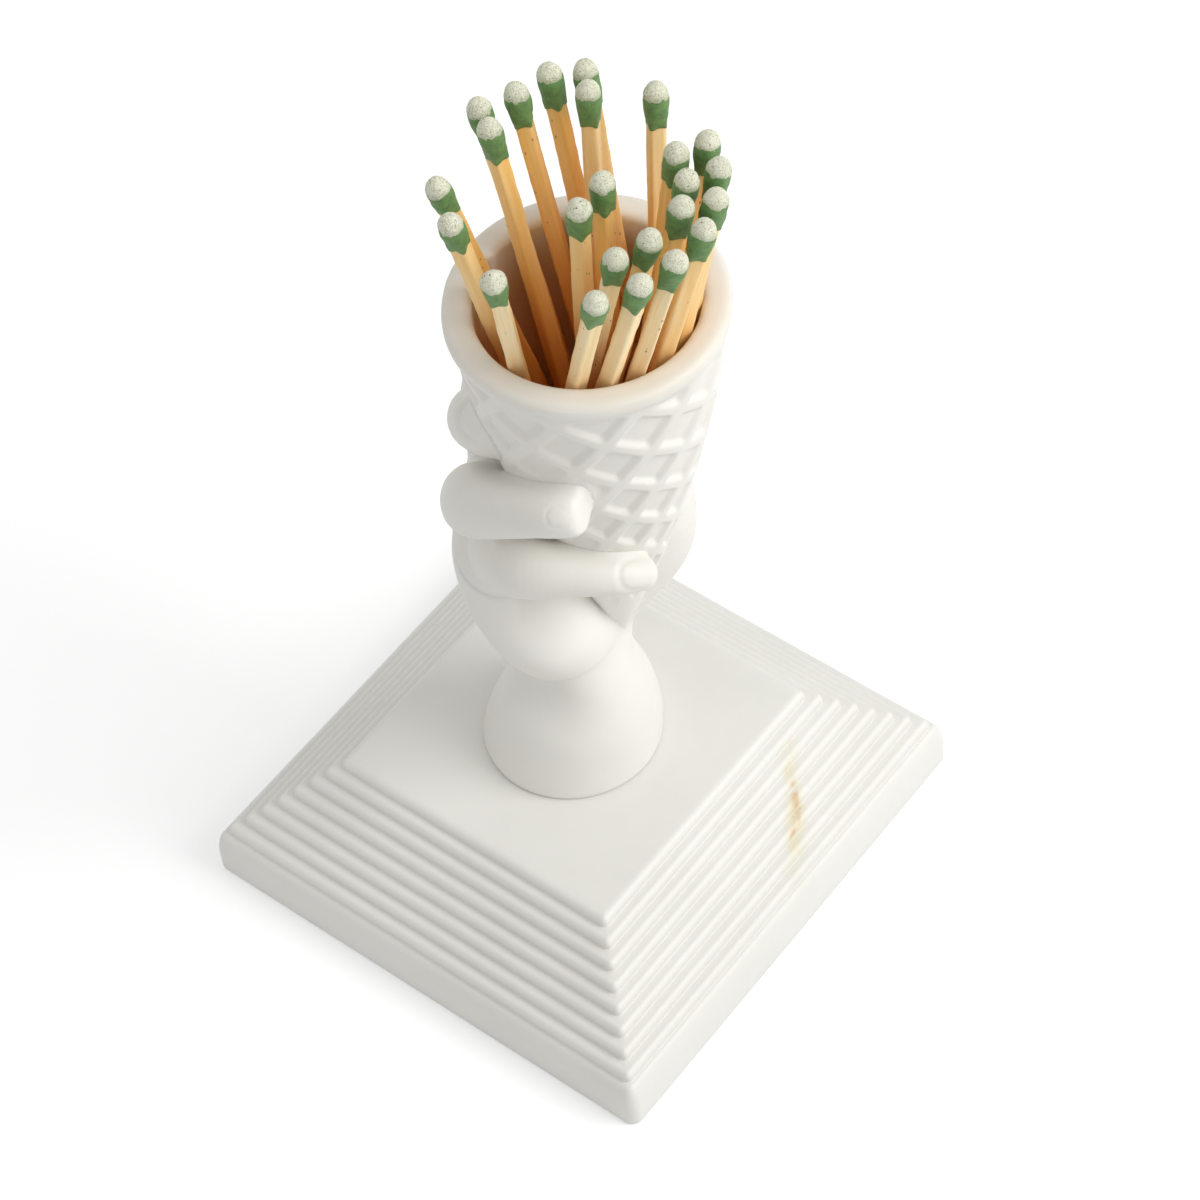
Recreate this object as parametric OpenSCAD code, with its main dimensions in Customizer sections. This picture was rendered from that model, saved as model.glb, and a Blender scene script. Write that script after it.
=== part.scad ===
// Match striker: a bisque hand holding a waffle cone full of matches,
// standing on a stepped marble block whose treads are the striking face.
// Millimetres, +Z up, origin at the middle of the block's underside.

/* [Marble block] */
// Width of the block across its foot
base_side = 100; // [92:1:120]
// Height of the lowest slab, up to the first tread
slab_height = 10.4; // [8:0.1:14]
// Rounding of the slab's upper edge
slab_nose = 2.6; // [1.5:0.1:3.2]
// Rounding of the slab's four upright corners
slab_corner = 4; // [3.4:0.1:8]
// Distance from the slab's face to the first riser
slab_ledge = 2.5; // [1.5:0.1:4]
// Number of steps above the slab
step_count = 8; // [6:1:9]
// Height of one step
step_rise = 2.2; // [1.6:0.1:3]
// Depth of one tread
step_run = 2.36; // [1.8:0.02:2.6]
// Rounding of each step's nose
step_nose = 0.8; // [0.4:0.1:1.2]
// Rounding of each step's upright corners
step_corner = 1.6; // [1.4:0.1:3]

/* [Cone] */
// Height of the rim above the top of the block
rim_height = 116.6; // [108:0.2:126]
// Outer radius of the rolled rim
rim_radius = 23.4; // [22.6:0.1:25]
// Overhang of the rim beyond the waffle surface
rim_overhang = 0.4; // [0.1:0.1:0.8]
// Length of the cone from its point to the rim, for each millimetre of its radius
cone_slimness = 3.94; // [3.8:0.02:4.1]
// Fullness of the cone's side: 1 is straight, more is rounder
cone_fullness = 1.5; // [1.3:0.05:1.6]
// Height of the smooth band below the lip
band_height = 3.4; // [3:0.2:6]
// Width of the lip, from the outer edge to the mouth
lip_width = 4.4; // [3.6:0.1:5]
// Thickness of the cone's wall below the waffle recesses
cone_wall = 2.6; // [2.2:0.1:3]
// Radius of the cup's floor, which lies where the cone is wide enough for it
floor_radius = 13; // [12.8:0.1:13.4]
// Offset of the cone's axis from the wrist's axis
cone_offset = 11; // [9:0.5:13]
// Number of steep waffle ridges round the cone
steep_ridges = 12; // [10:1:14]
// Number of shallow waffle ridges round the cone
shallow_ridges = 8; // [7:1:9]
// Turn of a steep ridge for each millimetre of height, in degrees
steep_turn = 1.9; // [1.5:0.1:2.3]
// Turn of a shallow ridge for each millimetre of height, in degrees
shallow_turn = 3.9; // [3.4:0.1:4.4]
// Depth of the waffle recesses
waffle_depth = 1.0; // [0.5:0.1:1.4]
// Width of a waffle ridge at its crest
ridge_width = 2; // [1.4:0.1:2.4]

/* [Hand] */
// Turn of the hand on the block, in degrees
hand_turn = 45; // [0:5:90]
// Radius of the wrist's foot on the block
foot_radius = 16.7; // [15:0.1:19]
// Rounding under the edge of the wrist's foot
foot_round = 1.2; // [0.6:0.1:2]
// Stoutness of the fingers and the thumb: 1 is the natural size
finger_scale = 1; // [0.9:0.02:1.08]
// Height of the fingernails above the skin
nail_height = 0.5; // [0.3:0.1:0.8]

/* [Matches] */
// Side of the square splints
splint_side = 2.8; // [2.2:0.1:2.8]
// Length of a match, from its foot to the crown of its head
match_length = 74.5; // [70:0.5:80]
// Radius of the striking head
head_radius = 2.35; // [2:0.05:2.4]
// Length of the splint that the head covers
head_grip = 4; // [3:0.1:5]
// Radius of the pale tip
tip_radius = 2.05; // [1.8:0.05:2.2]
// Height of the pale tip above the head's shoulder
tip_length = 2.6; // [2:0.1:3.4]
// Clearance under the lowest corner of each splint
splint_gap = 0.1; // [0.05:0.05:0.3]

/* [Hidden] */

plateau_height = slab_height + step_count * step_rise;
cone_radius = rim_radius - rim_overhang;
cone_length = cone_slimness * cone_radius;
point_height = rim_height - cone_length;
mouth_radius = rim_radius - lip_width;
cup_depth = cone_length * pow(1 - (floor_radius + cone_wall) / cone_radius, 1 / cone_fullness);
cup_floor = rim_height - cup_depth;

// The tables of the hand and the matches are drawn for a cone of radius 23
// and length 90.6, 11 off the wrist's axis, with its point 26 above the
// block. They follow the real cone: wide across, tall above its point, and
// the wrist below it
wide = cone_radius / 23;
tall = cone_length / 90.6;
wrist = point_height / 26;
function sway(z) = (cone_offset - 11 * wide) * min(1, max(0, z / 50));
function fit(p) = [p[0] * wide + sway(p[2]), p[1] * wide,
                   p[2] < 26 ? p[2] * wrist : point_height + (p[2] - 26) * tall];
function unfit(p) = let (z = 26 + (p[2] - point_height) / tall) [(p[0] - sway(z)) / wide, p[1] / wide, z];

// Feet of the matches, in three rings on the cup's floor: how many,
// the ring's radius and the azimuth of its first foot
foot_rings = [[2, 2.6, 315], [7, 6.0, 20], [15, 9.9, -16]];
// Where each match's crown stands from the cone's axis, ring by ring, for
// crowns 76 from the feet. A longer or shorter match keeps its lean, and
// each passes the rim at the same share of the way in a wider cup
packing = floor_radius / 13;
opening = 0.74 * (mouth_radius / floor_radius - 0.704);
splay = opening * packing / cup_depth;
crowns = [
    [4.4, -3.8], [0, -8.7],
    [17, 0.6], [4.9, 17.6], [-12.1, 12.2], [4.8, -18.5], [10.6, -15.8], [16.4, -10.2], [17.8, -5.2],
    [22.3, 2.8], [15.5, 15.6], [4.8, 23.6], [-1.2, 23.5], [-7, 19.4], [-13.3, 17.2], [-21.8, 1.4],
    [-20.5, -7], [-15, -19.6], [0.6, -26], [8, -24], [14, -20.5], [19.3, -14.9], [22, -9.2], [23.3, -3]];

stone = [0.90, 0.89, 0.87];
bisque = [0.96, 0.95, 0.93];
wood = [0.90, 0.74, 0.50];
green = [0.22, 0.48, 0.26];
cream = [0.84, 0.87, 0.78];

// Smooth curve through a list of rows, at place t counted in rows
function row_at(rows, i) = rows[max(0, min(len(rows) - 1, i))];
function smooth_row(rows, t) =
    let (i = min(floor(t), len(rows) - 2), f = t - i,
         a = row_at(rows, i - 1), b = row_at(rows, i), c = row_at(rows, i + 1), d = row_at(rows, i + 2))
    0.5 * (2 * b + (c - a) * f + (2 * a - 5 * b + 4 * c - d) * f * f + (3 * b - a - 3 * c + d) * f * f * f);
function unit(v) = v / norm(v);
function point_of(row) = [row[0], row[1], row[2]];

// Closed solid through a stack of rings with the same number of points
module skin(rings) {
    n = len(rings[0]);
    m = len(rings);
    sides = [for (j = [0:m - 2], i = [0:n - 1]) let (k = (i + 1) % n)
             each [[j * n + i, (j + 1) * n + i, (j + 1) * n + k], [j * n + i, (j + 1) * n + k, j * n + k]]];
    centre_a = [for (k = [0:2]) [for (p = rings[0]) p[k]] * [for (p = rings[0]) 1] / n];
    centre_b = [for (k = [0:2]) [for (p = rings[m - 1]) p[k]] * [for (p = rings[m - 1]) 1] / n];
    caps = [for (i = [0:n - 1]) let (k = (i + 1) % n)
            each [[m * n, i, k], [m * n + 1, (m - 1) * n + k, (m - 1) * n + i]]];
    polyhedron(points = concat([for (r = rings) each r], [centre_a, centre_b]), faces = concat(sides, caps));
}

// Marble block

module edge_profile(reach, height, nose) {
    square([reach, height - nose]);
    square([reach - nose, height]);
    intersection() {
        translate([reach - nose, height - nose]) circle(r = nose, $fn = 32);
        square([reach, height]);
    }
}

module plate(half, bottom, height, corner, nose) {
    inner = half - corner;
    translate([0, 0, bottom]) {
        translate([-inner, -inner, 0]) cube([2 * inner, 2 * inner, height]);
        for (side = [0:3]) rotate([0, 0, 90 * side]) {
            translate([inner, inner, 0]) rotate([90, 0, 0])
                linear_extrude(2 * inner) edge_profile(corner, height, nose);
            translate([inner, inner, 0])
                rotate_extrude(angle = 90, $fn = 32) edge_profile(corner, height, nose);
        }
    }
}

module marble_base() {
    color(stone) {
        plate(base_side / 2, 0, slab_height, slab_corner, slab_nose);
        for (k = [0:step_count - 1])
            plate(base_side / 2 - slab_ledge - k * step_run, slab_height + k * step_rise - 1,
                  step_rise + 1, step_corner, step_nose);
    }
}

// Cone, in the hand's own frame: x to the right, y away, z up from the
// top of the block

module on_block() {
    translate([0, 0, plateau_height]) rotate([0, 0, hand_turn]) children();
}

function cone_r(z) =
    cone_radius * (1 - pow(min(1, max(0, 1 - (z - point_height) / cone_length)), cone_fullness));
function cup_r(z) = min(mouth_radius, cone_r(z) - cone_wall);
function on_cone(angle, z, out) =
    [cone_offset + (cone_r(z) + out) * cos(angle), (cone_r(z) + out) * sin(angle), z];

module cone_body() {
    steps = 14;
    translate([cone_offset, 0, 0]) rotate_extrude($fn = 48)
        polygon(concat([[0, point_height + 0.4], [1.2, point_height + 1.4]],
                       [for (i = [1:steps]) let (z = point_height + cone_length * i / steps)
                        [cone_r(z) - 0.4 * (1 - i / steps), z]],
                       [[0, rim_height]]));
}

// The rolled rim: a smooth band with a round lip
module rim_band() {
    top = rim_height;
    r = lip_width / 2;
    translate([cone_offset, 0, 0]) rotate_extrude($fn = 60)
        polygon(concat([for (a = [0:30:180]) [rim_radius - r + r * cos(a), top - r * 0.7 + r * 0.7 * sin(a)]],
                       [[mouth_radius, top - band_height - lip_width],
                        [cone_r(top - band_height - 1.4) - 0.6, top - band_height - 1.4],
                        [cone_r(top - band_height) + 0.5, top - band_height],
                        [rim_radius - 0.1, top - band_height + 2]]));
}

// Waffle ridges run as two families of helices, so a point of the
// pattern is given by how many ridges of each family lie before it
steep_pitch = 360 / steep_ridges;
shallow_pitch = 360 / shallow_ridges;
pattern_height = rim_height - 1.094 * rim_radius;
steep_start = -88;
shallow_start = -82;
function waffle_point(i, j) =
    let (apart = shallow_start - steep_start + shallow_pitch * j - steep_pitch * i,
         w = apart / (steep_turn + shallow_turn))
    [steep_start + steep_pitch * i + steep_turn * w, pattern_height + w];

// One recess between two ridges of each family, narrower at its floor
module waffle_recess(i, j) {
    mid = waffle_point(i + 0.5, j + 0.5);
    r = cone_r(mid[1]);
    // share of the cell that a ridge takes on each side
    a = min(0.4, ridge_width / 2 / (r * steep_pitch * PI / 180 * 0.86));
    b = min(0.4, ridge_width / 2 / (r * shallow_pitch * PI / 180 * 0.52));
    corners = [[a, b], [0.5, b], [1 - a, b], [1 - a, 1 - b], [0.5, 1 - b], [a, 1 - b]];
    open_below = mid[1] < rim_height - band_height + 2 * ridge_width;
    if (r > 2.6 && open_below && !under_hand(on_cone(mid[0], mid[1], 0))) hull() skin([
        for (level = [[1, 0.9], [1 - 0.8 * a, -waffle_depth]])
            [for (c = corners)
             let (p = waffle_point(i + 0.5 + (c[0] - 0.5) * level[0], j + 0.5 + (c[1] - 0.5) * level[0]))
             on_cone(p[0], max(p[1], point_height + 1), level[1])]]);
}

module waffle_cone() {
    difference() {
        cone_body();
        for (i = [0:steep_ridges - 1]) {
            // rows of this column that lie on the cone
            low = floor((steep_pitch * i + (steep_turn + shallow_turn) * (point_height - pattern_height)
                         - shallow_start + steep_start) / shallow_pitch) - 1;
            high = ceil((steep_pitch * i + (steep_turn + shallow_turn) * (rim_height - pattern_height)
                         - shallow_start + steep_start) / shallow_pitch) + 1;
            for (j = [low:high]) waffle_recess(i, j);
        }
    }
    rim_band();
}

module cup_hollow() {
    steps = 5;
    translate([cone_offset, 0, 0]) rotate_extrude($fn = 40)
        polygon(concat([[0, cup_floor], [cup_r(cup_floor) - 1, cup_floor]],
                       [for (i = [0:steps]) let (z = cup_floor + 0.8 + (cup_depth - 3) * i / steps)
                        [cup_r(z), z]],
                       [[mouth_radius, rim_height + 1], [0, rim_height + 1]]));
}

// Hand, in the same frame

// Rings of the wrist and palm: x, y, z of the middle, half widths along x and y
palm = [
    [0.2, 0, 2, 16.6, 16.6],
    [0.9, 0, 6, 15.9, 16],
    [1.9, 0, 12, 14.2, 14.6],
    [2.6, 0.5, 17.5, 11.6, 12.2],
    [2.4, 1.4, 22, 10.3, 10.8],
    [3.6, 3.6, 28, 11.4, 9.4],
    [4.6, 7, 36, 13.4, 8],
    [4.4, 11, 46, 14.6, 7.4],
    [3, 15, 58, 15, 7.2],
    [2.4, 18.6, 70, 14.6, 7],
    [3.4, 21.6, 81, 13, 6.4],
    [5, 23.6, 90, 10.6, 5.2],
    [6, 24.4, 95, 7.6, 3.6]];

// Heel of the hand: a swelling in front of the palm, x, y, z and half widths
heel = [[1.6, 0, 17, 9, 9], [1, -0.6, 22, 9.6, 9.6], [-0.4, -2.6, 30, 10.3, 10.3],
        [-2.6, -3, 38, 11, 10.6], [-5, -1.8, 46, 11.1, 10], [-7.5, 2, 54, 9, 8.6], [-7.5, 6, 60, 6, 6]];

// Digits: x, y, z of the bone line, half thickness and half height
little = [[-5, 11, 50, 6, 6], [-10.6, 4, 54, 5.4, 5.4], [-10.8, -4.5, 60, 4.9, 6.2],
          [-5, -12, 64.4, 4.2, 6.6], [4, -15.2, 65.8, 3.9, 5.6], [11, -15.8, 64.8, 3.7, 3.9],
          [17, -13.6, 61.4, 3.4, 3.4]];
ring = [[-2, 16, 55, 6.2, 6.2], [-9.2, 8, 61.5, 5.8, 5.8], [-11.8, -3, 73, 5.8, 6],
        [-8.2, -12.5, 82.2, 5, 5.2], [-2, -18.6, 87.2, 4.5, 4.3], [2.6, -21, 89, 4.3, 4.2],
        [6.6, -20.6, 88.4, 3.6, 4]];
middle = [[1, 20.5, 73, 5.6, 6], [-3.8, 16, 77.5, 5.2, 5.6], [-7.2, 8, 83.5, 5, 5.3],
          [-9.2, -0.5, 91.4, 5, 5.3], [-5.2, -7, 93.8, 4, 4.8]];
index = [[6, 24, 87, 5.6, 5.6], [2.4, 25.6, 92, 5, 5.2], [-1.6, 23, 98, 4.6, 4.8], [-4, 18, 101.4, 4.2, 4.6],
         [-4, 13.5, 102, 3.4, 4]];
thumb = [[6, 5, 30, 7.6, 8], [13.4, 6.4, 37, 8.4, 9.2], [18, 8.2, 48, 8, 9.4], [19.6, 12, 61, 6.2, 7.4],
         [20, 17, 73, 5, 6], [18.6, 20.5, 83, 4.6, 5.6], [15.5, 22, 92, 3.6, 4.6]];

// Whether a point of the waffle is covered by the palm, the heel or a digit
cover = 0.5;
function in_stack(rows, p) =
    let (part = [for (k = [0, 1, 3, 4]) lookup(p[2], [for (r = rows) [r[2], r[k]]])],
         x = (p[0] - part[0]) / (part[2] + cover), y = (p[1] - part[1]) / (part[3] + cover))
    p[2] < rows[len(rows) - 1][2] + cover && x * x + y * y < 1;
function in_digit(rows, p) =
    min([for (k = [0:3 * (len(rows) - 1)]) let (r = smooth_row(rows, k / 3))
         norm(p - point_of(r)) - max(r[3], r[4])]) < cover;
function under_hand(real) =
    let (p = unfit(real))
    in_stack(palm, p) || in_stack(heel, p) || in_digit(little, p) || in_digit(ring, p) || in_digit(middle, p)
    || in_digit(index, p) || in_digit(thumb, p);

// Ring round a bone line: its first axis points away from the cone, and
// its inner half is deeper, so that the digit lies closed against the waffle
inner_depth = 1.5;
function digit_frame(rows, t) =
    let (here = smooth_row(rows, t), e = 0.01,
         along = unit(point_of(smooth_row(rows, min(t + e, len(rows) - 1)))
                      - point_of(smooth_row(rows, max(t - e, 0)))),
         away = [here[0] - 11, here[1], 0.35 * norm([here[0] - 11, here[1]])],
         out = unit(away - along * (away * along)))
    [point_of(here), along, out, cross(along, out), here[3] * finger_scale, here[4] * finger_scale];
function ring_of(frame, size, n) =
    [for (i = [0:n - 1]) let (a = 360 * i / n, deep = cos(a) < 0 ? inner_depth : 1)
     fit(frame[0] + size * (frame[4] * deep * cos(a) * frame[2] + frame[5] * sin(a) * frame[3]))];
function level_ring(row, n) =
    [for (i = [0:n - 1]) let (a = 360 * i / n)
     fit([row[0] + row[3] * cos(a), row[1] + row[4] * sin(a), row[2]])];

module digit(rows, per_row, sides) {
    last = len(rows) - 1;
    // The end closes as a dome over the last stretch
    dome = 0.92;
    skin([for (k = [0:per_row * last])
              let (t = k / per_row, u = max(0, (t - last + dome) / dome))
              ring_of(digit_frame(rows, t), sqrt(max(1 - u * u * u, 0.02)), sides)]);
}

// A nail lies on the outer side, just before the end of the digit, and
// takes its size from the digit's own thickness and height there
module nail(rows, back) {
    frame = digit_frame(rows, len(rows) - 1 - back);
    size = [0.78 * frame[5], 0.7 * frame[5], 0.3 * frame[4]] * wide;
    at = fit(frame[0] + frame[2] * frame[4]) + frame[2] * (nail_height - size[2]);
    m = [for (k = [0:2]) [frame[1][k], frame[3][k], frame[2][k], at[k]]];
    multmatrix([m[0], m[1], m[2], [0, 0, 0, 1]]) scale(size) sphere(1, $fn = 12);
}

module palm_and_wrist() {
    rings = 20;
    sides = 26;
    rows = len(palm) - 1;
    foot = [for (b = [0:30:90]) let (r = foot_radius - foot_round * (1 - sin(b)))
            [for (i = [0:sides - 1]) let (a = 360 * i / sides)
             [r * cos(a), r * sin(a), foot_round * (1 - cos(b))]]];
    skin(concat(foot, [for (k = [0:rings]) level_ring(smooth_row(palm, rows * k / rings), sides)]));
}

module heel_of_hand() {
    skin([for (k = [0:2 * (len(heel) - 1)]) level_ring(smooth_row(heel, k / 2), 20)]);
}

module hand() {
    palm_and_wrist();
    heel_of_hand();
    digit(little, 4, 14);
    digit(ring, 4, 14);
    digit(middle, 4, 12);
    digit(index, 3, 12);
    digit(thumb, 3, 14);
    nail(little, 0.85);
    nail(ring, 0.8);
    nail(middle, 0.6);
    nail(index, 0.7);
    nail(thumb, 0.7);
}

module hand_and_cone() {
    color(bisque) on_block() difference() {
        union() {
            waffle_cone();
            hand();
        }
        cup_hollow();
    }
}

// Matches

ring_of_match = [for (r = [0:len(foot_rings) - 1], k = [0:foot_rings[r][0] - 1]) [r, k]];
function foot_azimuth(i) = let (q = ring_of_match[i - 1], g = foot_rings[q[0]]) g[2] + 360 * q[1] / g[0];
function foot_place(i) = let (q = ring_of_match[i - 1], g = foot_rings[q[0]], a = foot_azimuth(i))
    g[1] * [cos(a), sin(a)];
function lean_of(i) = crowns[i - 1] - foot_place(i);
function tilt_of(i) = asin(splay * norm(lean_of(i)));
function lean_azimuth(i) = atan2(lean_of(i)[1], lean_of(i)[0]);
// A leaning splint is lifted until its lowest corner clears the floor
function corner_drop(i) = let (t = foot_azimuth(i) - lean_azimuth(i))
    splint_side / 2 * (abs(cos(t)) + abs(sin(t))) * sin(tilt_of(i));

module along_match(i) {
    place = foot_place(i) * packing;
    on_block()
        translate([cone_offset + place[0], place[1], cup_floor + splint_gap + corner_drop(i)])
        rotate([0, 0, lean_azimuth(i)]) rotate([0, tilt_of(i), 0])
        rotate([0, 0, foot_azimuth(i) - lean_azimuth(i)]) children();
}

splint_length = match_length - tip_length - 1;
module splint_bar() {
    translate([-splint_side / 2, -splint_side / 2, 0]) cube([splint_side, splint_side, splint_length]);
}

shoulder = match_length - tip_length;
module head_solid() {
    bottom = splint_length - head_grip;
    rotate_extrude($fn = 40)
        polygon(concat([[0, bottom]],
                       [for (k = [0:8]) let (t = k / 8)
                        [splint_side * 0.6 + (head_radius - splint_side * 0.6) * sin(90 * min(1, 1.7 * t)),
                         bottom + (shoulder - bottom) * t]],
                       [[0, shoulder]]));
}

module splint(i) {
    color(wood) along_match(i) splint_bar();
}

module head(i) {
    color(green) along_match(i) difference() {
        head_solid();
        splint_bar();
    }
}

module match_tips() {
    color(cream) for (i = [1:len(crowns)]) along_match(i)
        translate([0, 0, shoulder]) rotate_extrude($fn = 40)
            polygon(concat([[0, 0]], [for (a = [0:15:90]) [tip_radius * cos(a), tip_length * sin(a)]]));
}

marble_base();
hand_and_cone();
for (i = [1:24]) {
    splint(i);
    head(i);
}
match_tips();
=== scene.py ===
"""The looks of a match striker: a bisque hand round a waffle cone of matches, on a stepped marble block."""

from __future__ import annotations

import logging
import math
from collections.abc import Callable
from dataclasses import dataclass, field
from enum import Enum

import bpy
import numpy as np
from mathutils import Matrix, Vector

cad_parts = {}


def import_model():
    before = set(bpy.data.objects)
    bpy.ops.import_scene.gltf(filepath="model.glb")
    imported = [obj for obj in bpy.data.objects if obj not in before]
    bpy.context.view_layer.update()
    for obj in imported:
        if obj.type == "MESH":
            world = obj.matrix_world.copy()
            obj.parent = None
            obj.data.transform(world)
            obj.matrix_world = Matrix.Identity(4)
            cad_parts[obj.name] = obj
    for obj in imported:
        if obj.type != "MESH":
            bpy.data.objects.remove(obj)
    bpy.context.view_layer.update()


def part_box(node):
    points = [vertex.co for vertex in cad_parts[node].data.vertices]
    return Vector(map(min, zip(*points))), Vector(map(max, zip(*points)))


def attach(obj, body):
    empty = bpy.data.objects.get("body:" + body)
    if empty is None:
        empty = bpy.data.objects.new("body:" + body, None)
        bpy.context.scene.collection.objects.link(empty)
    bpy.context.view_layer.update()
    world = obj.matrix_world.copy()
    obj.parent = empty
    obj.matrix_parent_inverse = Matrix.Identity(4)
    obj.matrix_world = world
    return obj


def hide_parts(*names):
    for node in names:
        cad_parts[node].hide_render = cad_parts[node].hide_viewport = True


log = logging.getLogger("match_striker")

# One millimetre in metres, the body that every piece rides on, and a distance beyond all reach in millimetres
MM = 0.001
BODY = "root"
FAR = 99.0

Triple = tuple[float, float, float]
Span = tuple[float, float]
Rows = tuple[tuple[float, ...], ...]
Faces = list[tuple[int, ...]]
Socket = bpy.types.NodeSocket


class Slot(Enum):
    """The record's material slots."""

    MARBLE = "marble"
    BISQUE = "bisque"
    WOOD = "splint_wood"
    GREEN = "green_compound"
    PALE = "pale_compound"


# Shared helpers: curves, noise and meshes


def smoothstep(low: float, high: float, x: np.ndarray) -> np.ndarray:
    """Return 0 below low, 1 above high, and a smooth rise between them."""
    t = np.clip((x - low) / (high - low), 0.0, 1.0)
    return t * t * (3 - 2 * t)


def smooth_rows(rows: np.ndarray, t: np.ndarray) -> np.ndarray:
    """Run a smooth curve through a table of rows.

    Args:
        rows: One row of numbers for each control point.
        t: Places along the table, counted in rows.

    Returns:
        One interpolated row for each place.
    """
    last = len(rows) - 1
    i = np.clip(np.floor(t).astype(int), 0, last - 1)
    f = (t - i)[:, None]
    a, b = rows[np.clip(i - 1, 0, last)], rows[i]
    c, d = rows[i + 1], rows[np.clip(i + 2, 0, last)]
    return 0.5 * (2 * b + (c - a) * f + (2 * a - 5 * b + 4 * c - d) * f**2 + (3 * b - a - 3 * c + d) * f**3)


def value_noise(points: np.ndarray, seed: int) -> np.ndarray:
    """Make smooth random values in space.

    Args:
        points: Places, in cells of the noise.
        seed: Which pattern to make.

    Returns:
        One value between -1 and 1 for each place.
    """
    base = np.floor(points).astype(np.int64)
    f = points - base
    f = f * f * (3 - 2 * f)
    total = np.zeros(len(points))
    for corner in range(8):
        step = np.array([corner & 1, corner >> 1 & 1, corner >> 2 & 1])
        cell = base + step
        h = cell[:, 0] * 374761393 + cell[:, 1] * 668265263 + cell[:, 2] * 2147483647 + seed * 974634777
        h = ((h ^ (h >> 13)) * 1274126177) & 0xFFFFFFFF
        value = ((h ^ (h >> 16)) & 0xFFFF) / 32767.5 - 1
        total += value * np.prod(np.where(step, f, 1 - f), axis=1)
    return total


def soft_union(a: np.ndarray, b: np.ndarray, reach: float | np.ndarray) -> np.ndarray:
    """Join two distance fields with a fillet of the given reach."""
    h = np.maximum(reach - np.abs(a - b), 0) / reach
    return np.minimum(a, b) - h * h * reach / 4


def polar(radius: np.ndarray, angle: np.ndarray, z: np.ndarray) -> np.ndarray:
    """Return points at the given radii, azimuths in radians and heights, with x, y and z on a last axis."""
    return np.stack([radius * np.cos(angle), radius * np.sin(angle), z], axis=-1)


def square_radius(angle: np.ndarray, half: float, power: float) -> np.ndarray:
    """Return the radius of a square with rounded corners at each azimuth. A higher power is sharper."""
    return half / (np.abs(np.cos(angle)) ** power + np.abs(np.sin(angle)) ** power) ** (1 / power)


def grid_faces(rows: int, columns: int) -> Faces:
    """List the quads of a stack of closed rings.

    Args:
        rows: Number of rings.
        columns: Number of points in a ring.

    Returns:
        The point numbers of each quad.
    """
    faces = []
    for low in range(0, (rows - 1) * columns, columns):
        high = low + columns
        for k in range(columns):
            after = (k + 1) % columns
            faces.append((low + k, low + after, high + after, high + k))
    return faces


def end_face(start: int, count: int, downward: bool = False) -> tuple[int, ...]:
    """Return one face over the ring of points that begins at start."""
    ring = range(start, start + count)
    return tuple(reversed(ring)) if downward else tuple(ring)


def new_piece(name: str, points: np.ndarray, faces: Faces, material: bpy.types.Material) -> bpy.types.Object:
    """Make a smooth-shaded mesh object.

    Args:
        name: The piece's name.
        points: Its vertices, in millimetres in the row frame.
        faces: The vertex numbers of each face.
        material: Its finish.

    Returns:
        The new object.
    """
    mesh = bpy.data.meshes.new(name)
    mesh.from_pydata((points * MM).tolist(), [], faces)
    mesh.polygons.foreach_set("use_smooth", [True] * len(mesh.polygons))
    mesh.materials.append(material)
    mesh.update()
    piece = bpy.data.objects.new(name, mesh)
    bpy.context.scene.collection.objects.link(piece)
    return piece


def settle(piece: bpy.types.Object, slot: Slot, *nodes: str) -> None:
    """Put a piece on the body and let it stand for its CAD nodes.

    Args:
        piece: The piece.
        slot: Its material slot, not used.
        nodes: The CAD nodes that it stands for, if any.
    """
    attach(piece, BODY)
    if nodes:
        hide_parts(*nodes)
    log.info("%s: %d faces", piece.name, len(piece.data.polygons))


def store_floats(piece: bpy.types.Object, name: str, values: np.ndarray) -> None:
    """Store one number for each vertex of a piece."""
    piece.data.attributes.new(name, "FLOAT", "POINT").data.foreach_set("value", values.astype(np.float32))


def store_vectors(piece: bpy.types.Object, name: str, values: np.ndarray) -> None:
    """Store one vector for each vertex of a piece."""
    layer = piece.data.attributes.new(name, "FLOAT_VECTOR", "POINT")
    layer.data.foreach_set("vector", values.astype(np.float32).ravel())


# Shared helpers: finishes


def background_rays(tree: bpy.types.NodeTree) -> Socket:
    """Find the rays that see the background: from the camera, off a gloss or through glass.

    Args:
        tree: The node tree of a material or of the sky.

    Returns:
        A socket that is 1 for these rays and 0 for the light on the object.
    """
    path = tree.nodes.new("ShaderNodeLightPath")
    seen = path.outputs["Is Camera Ray"]
    for kind in ("Is Glossy Ray", "Is Transmission Ray"):
        either = tree.nodes.new("ShaderNodeMath")
        either.operation = "MAXIMUM"
        tree.links.new(seen, either.inputs[0])
        tree.links.new(path.outputs[kind], either.inputs[1])
        seen = either.outputs[0]
    return seen


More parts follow.
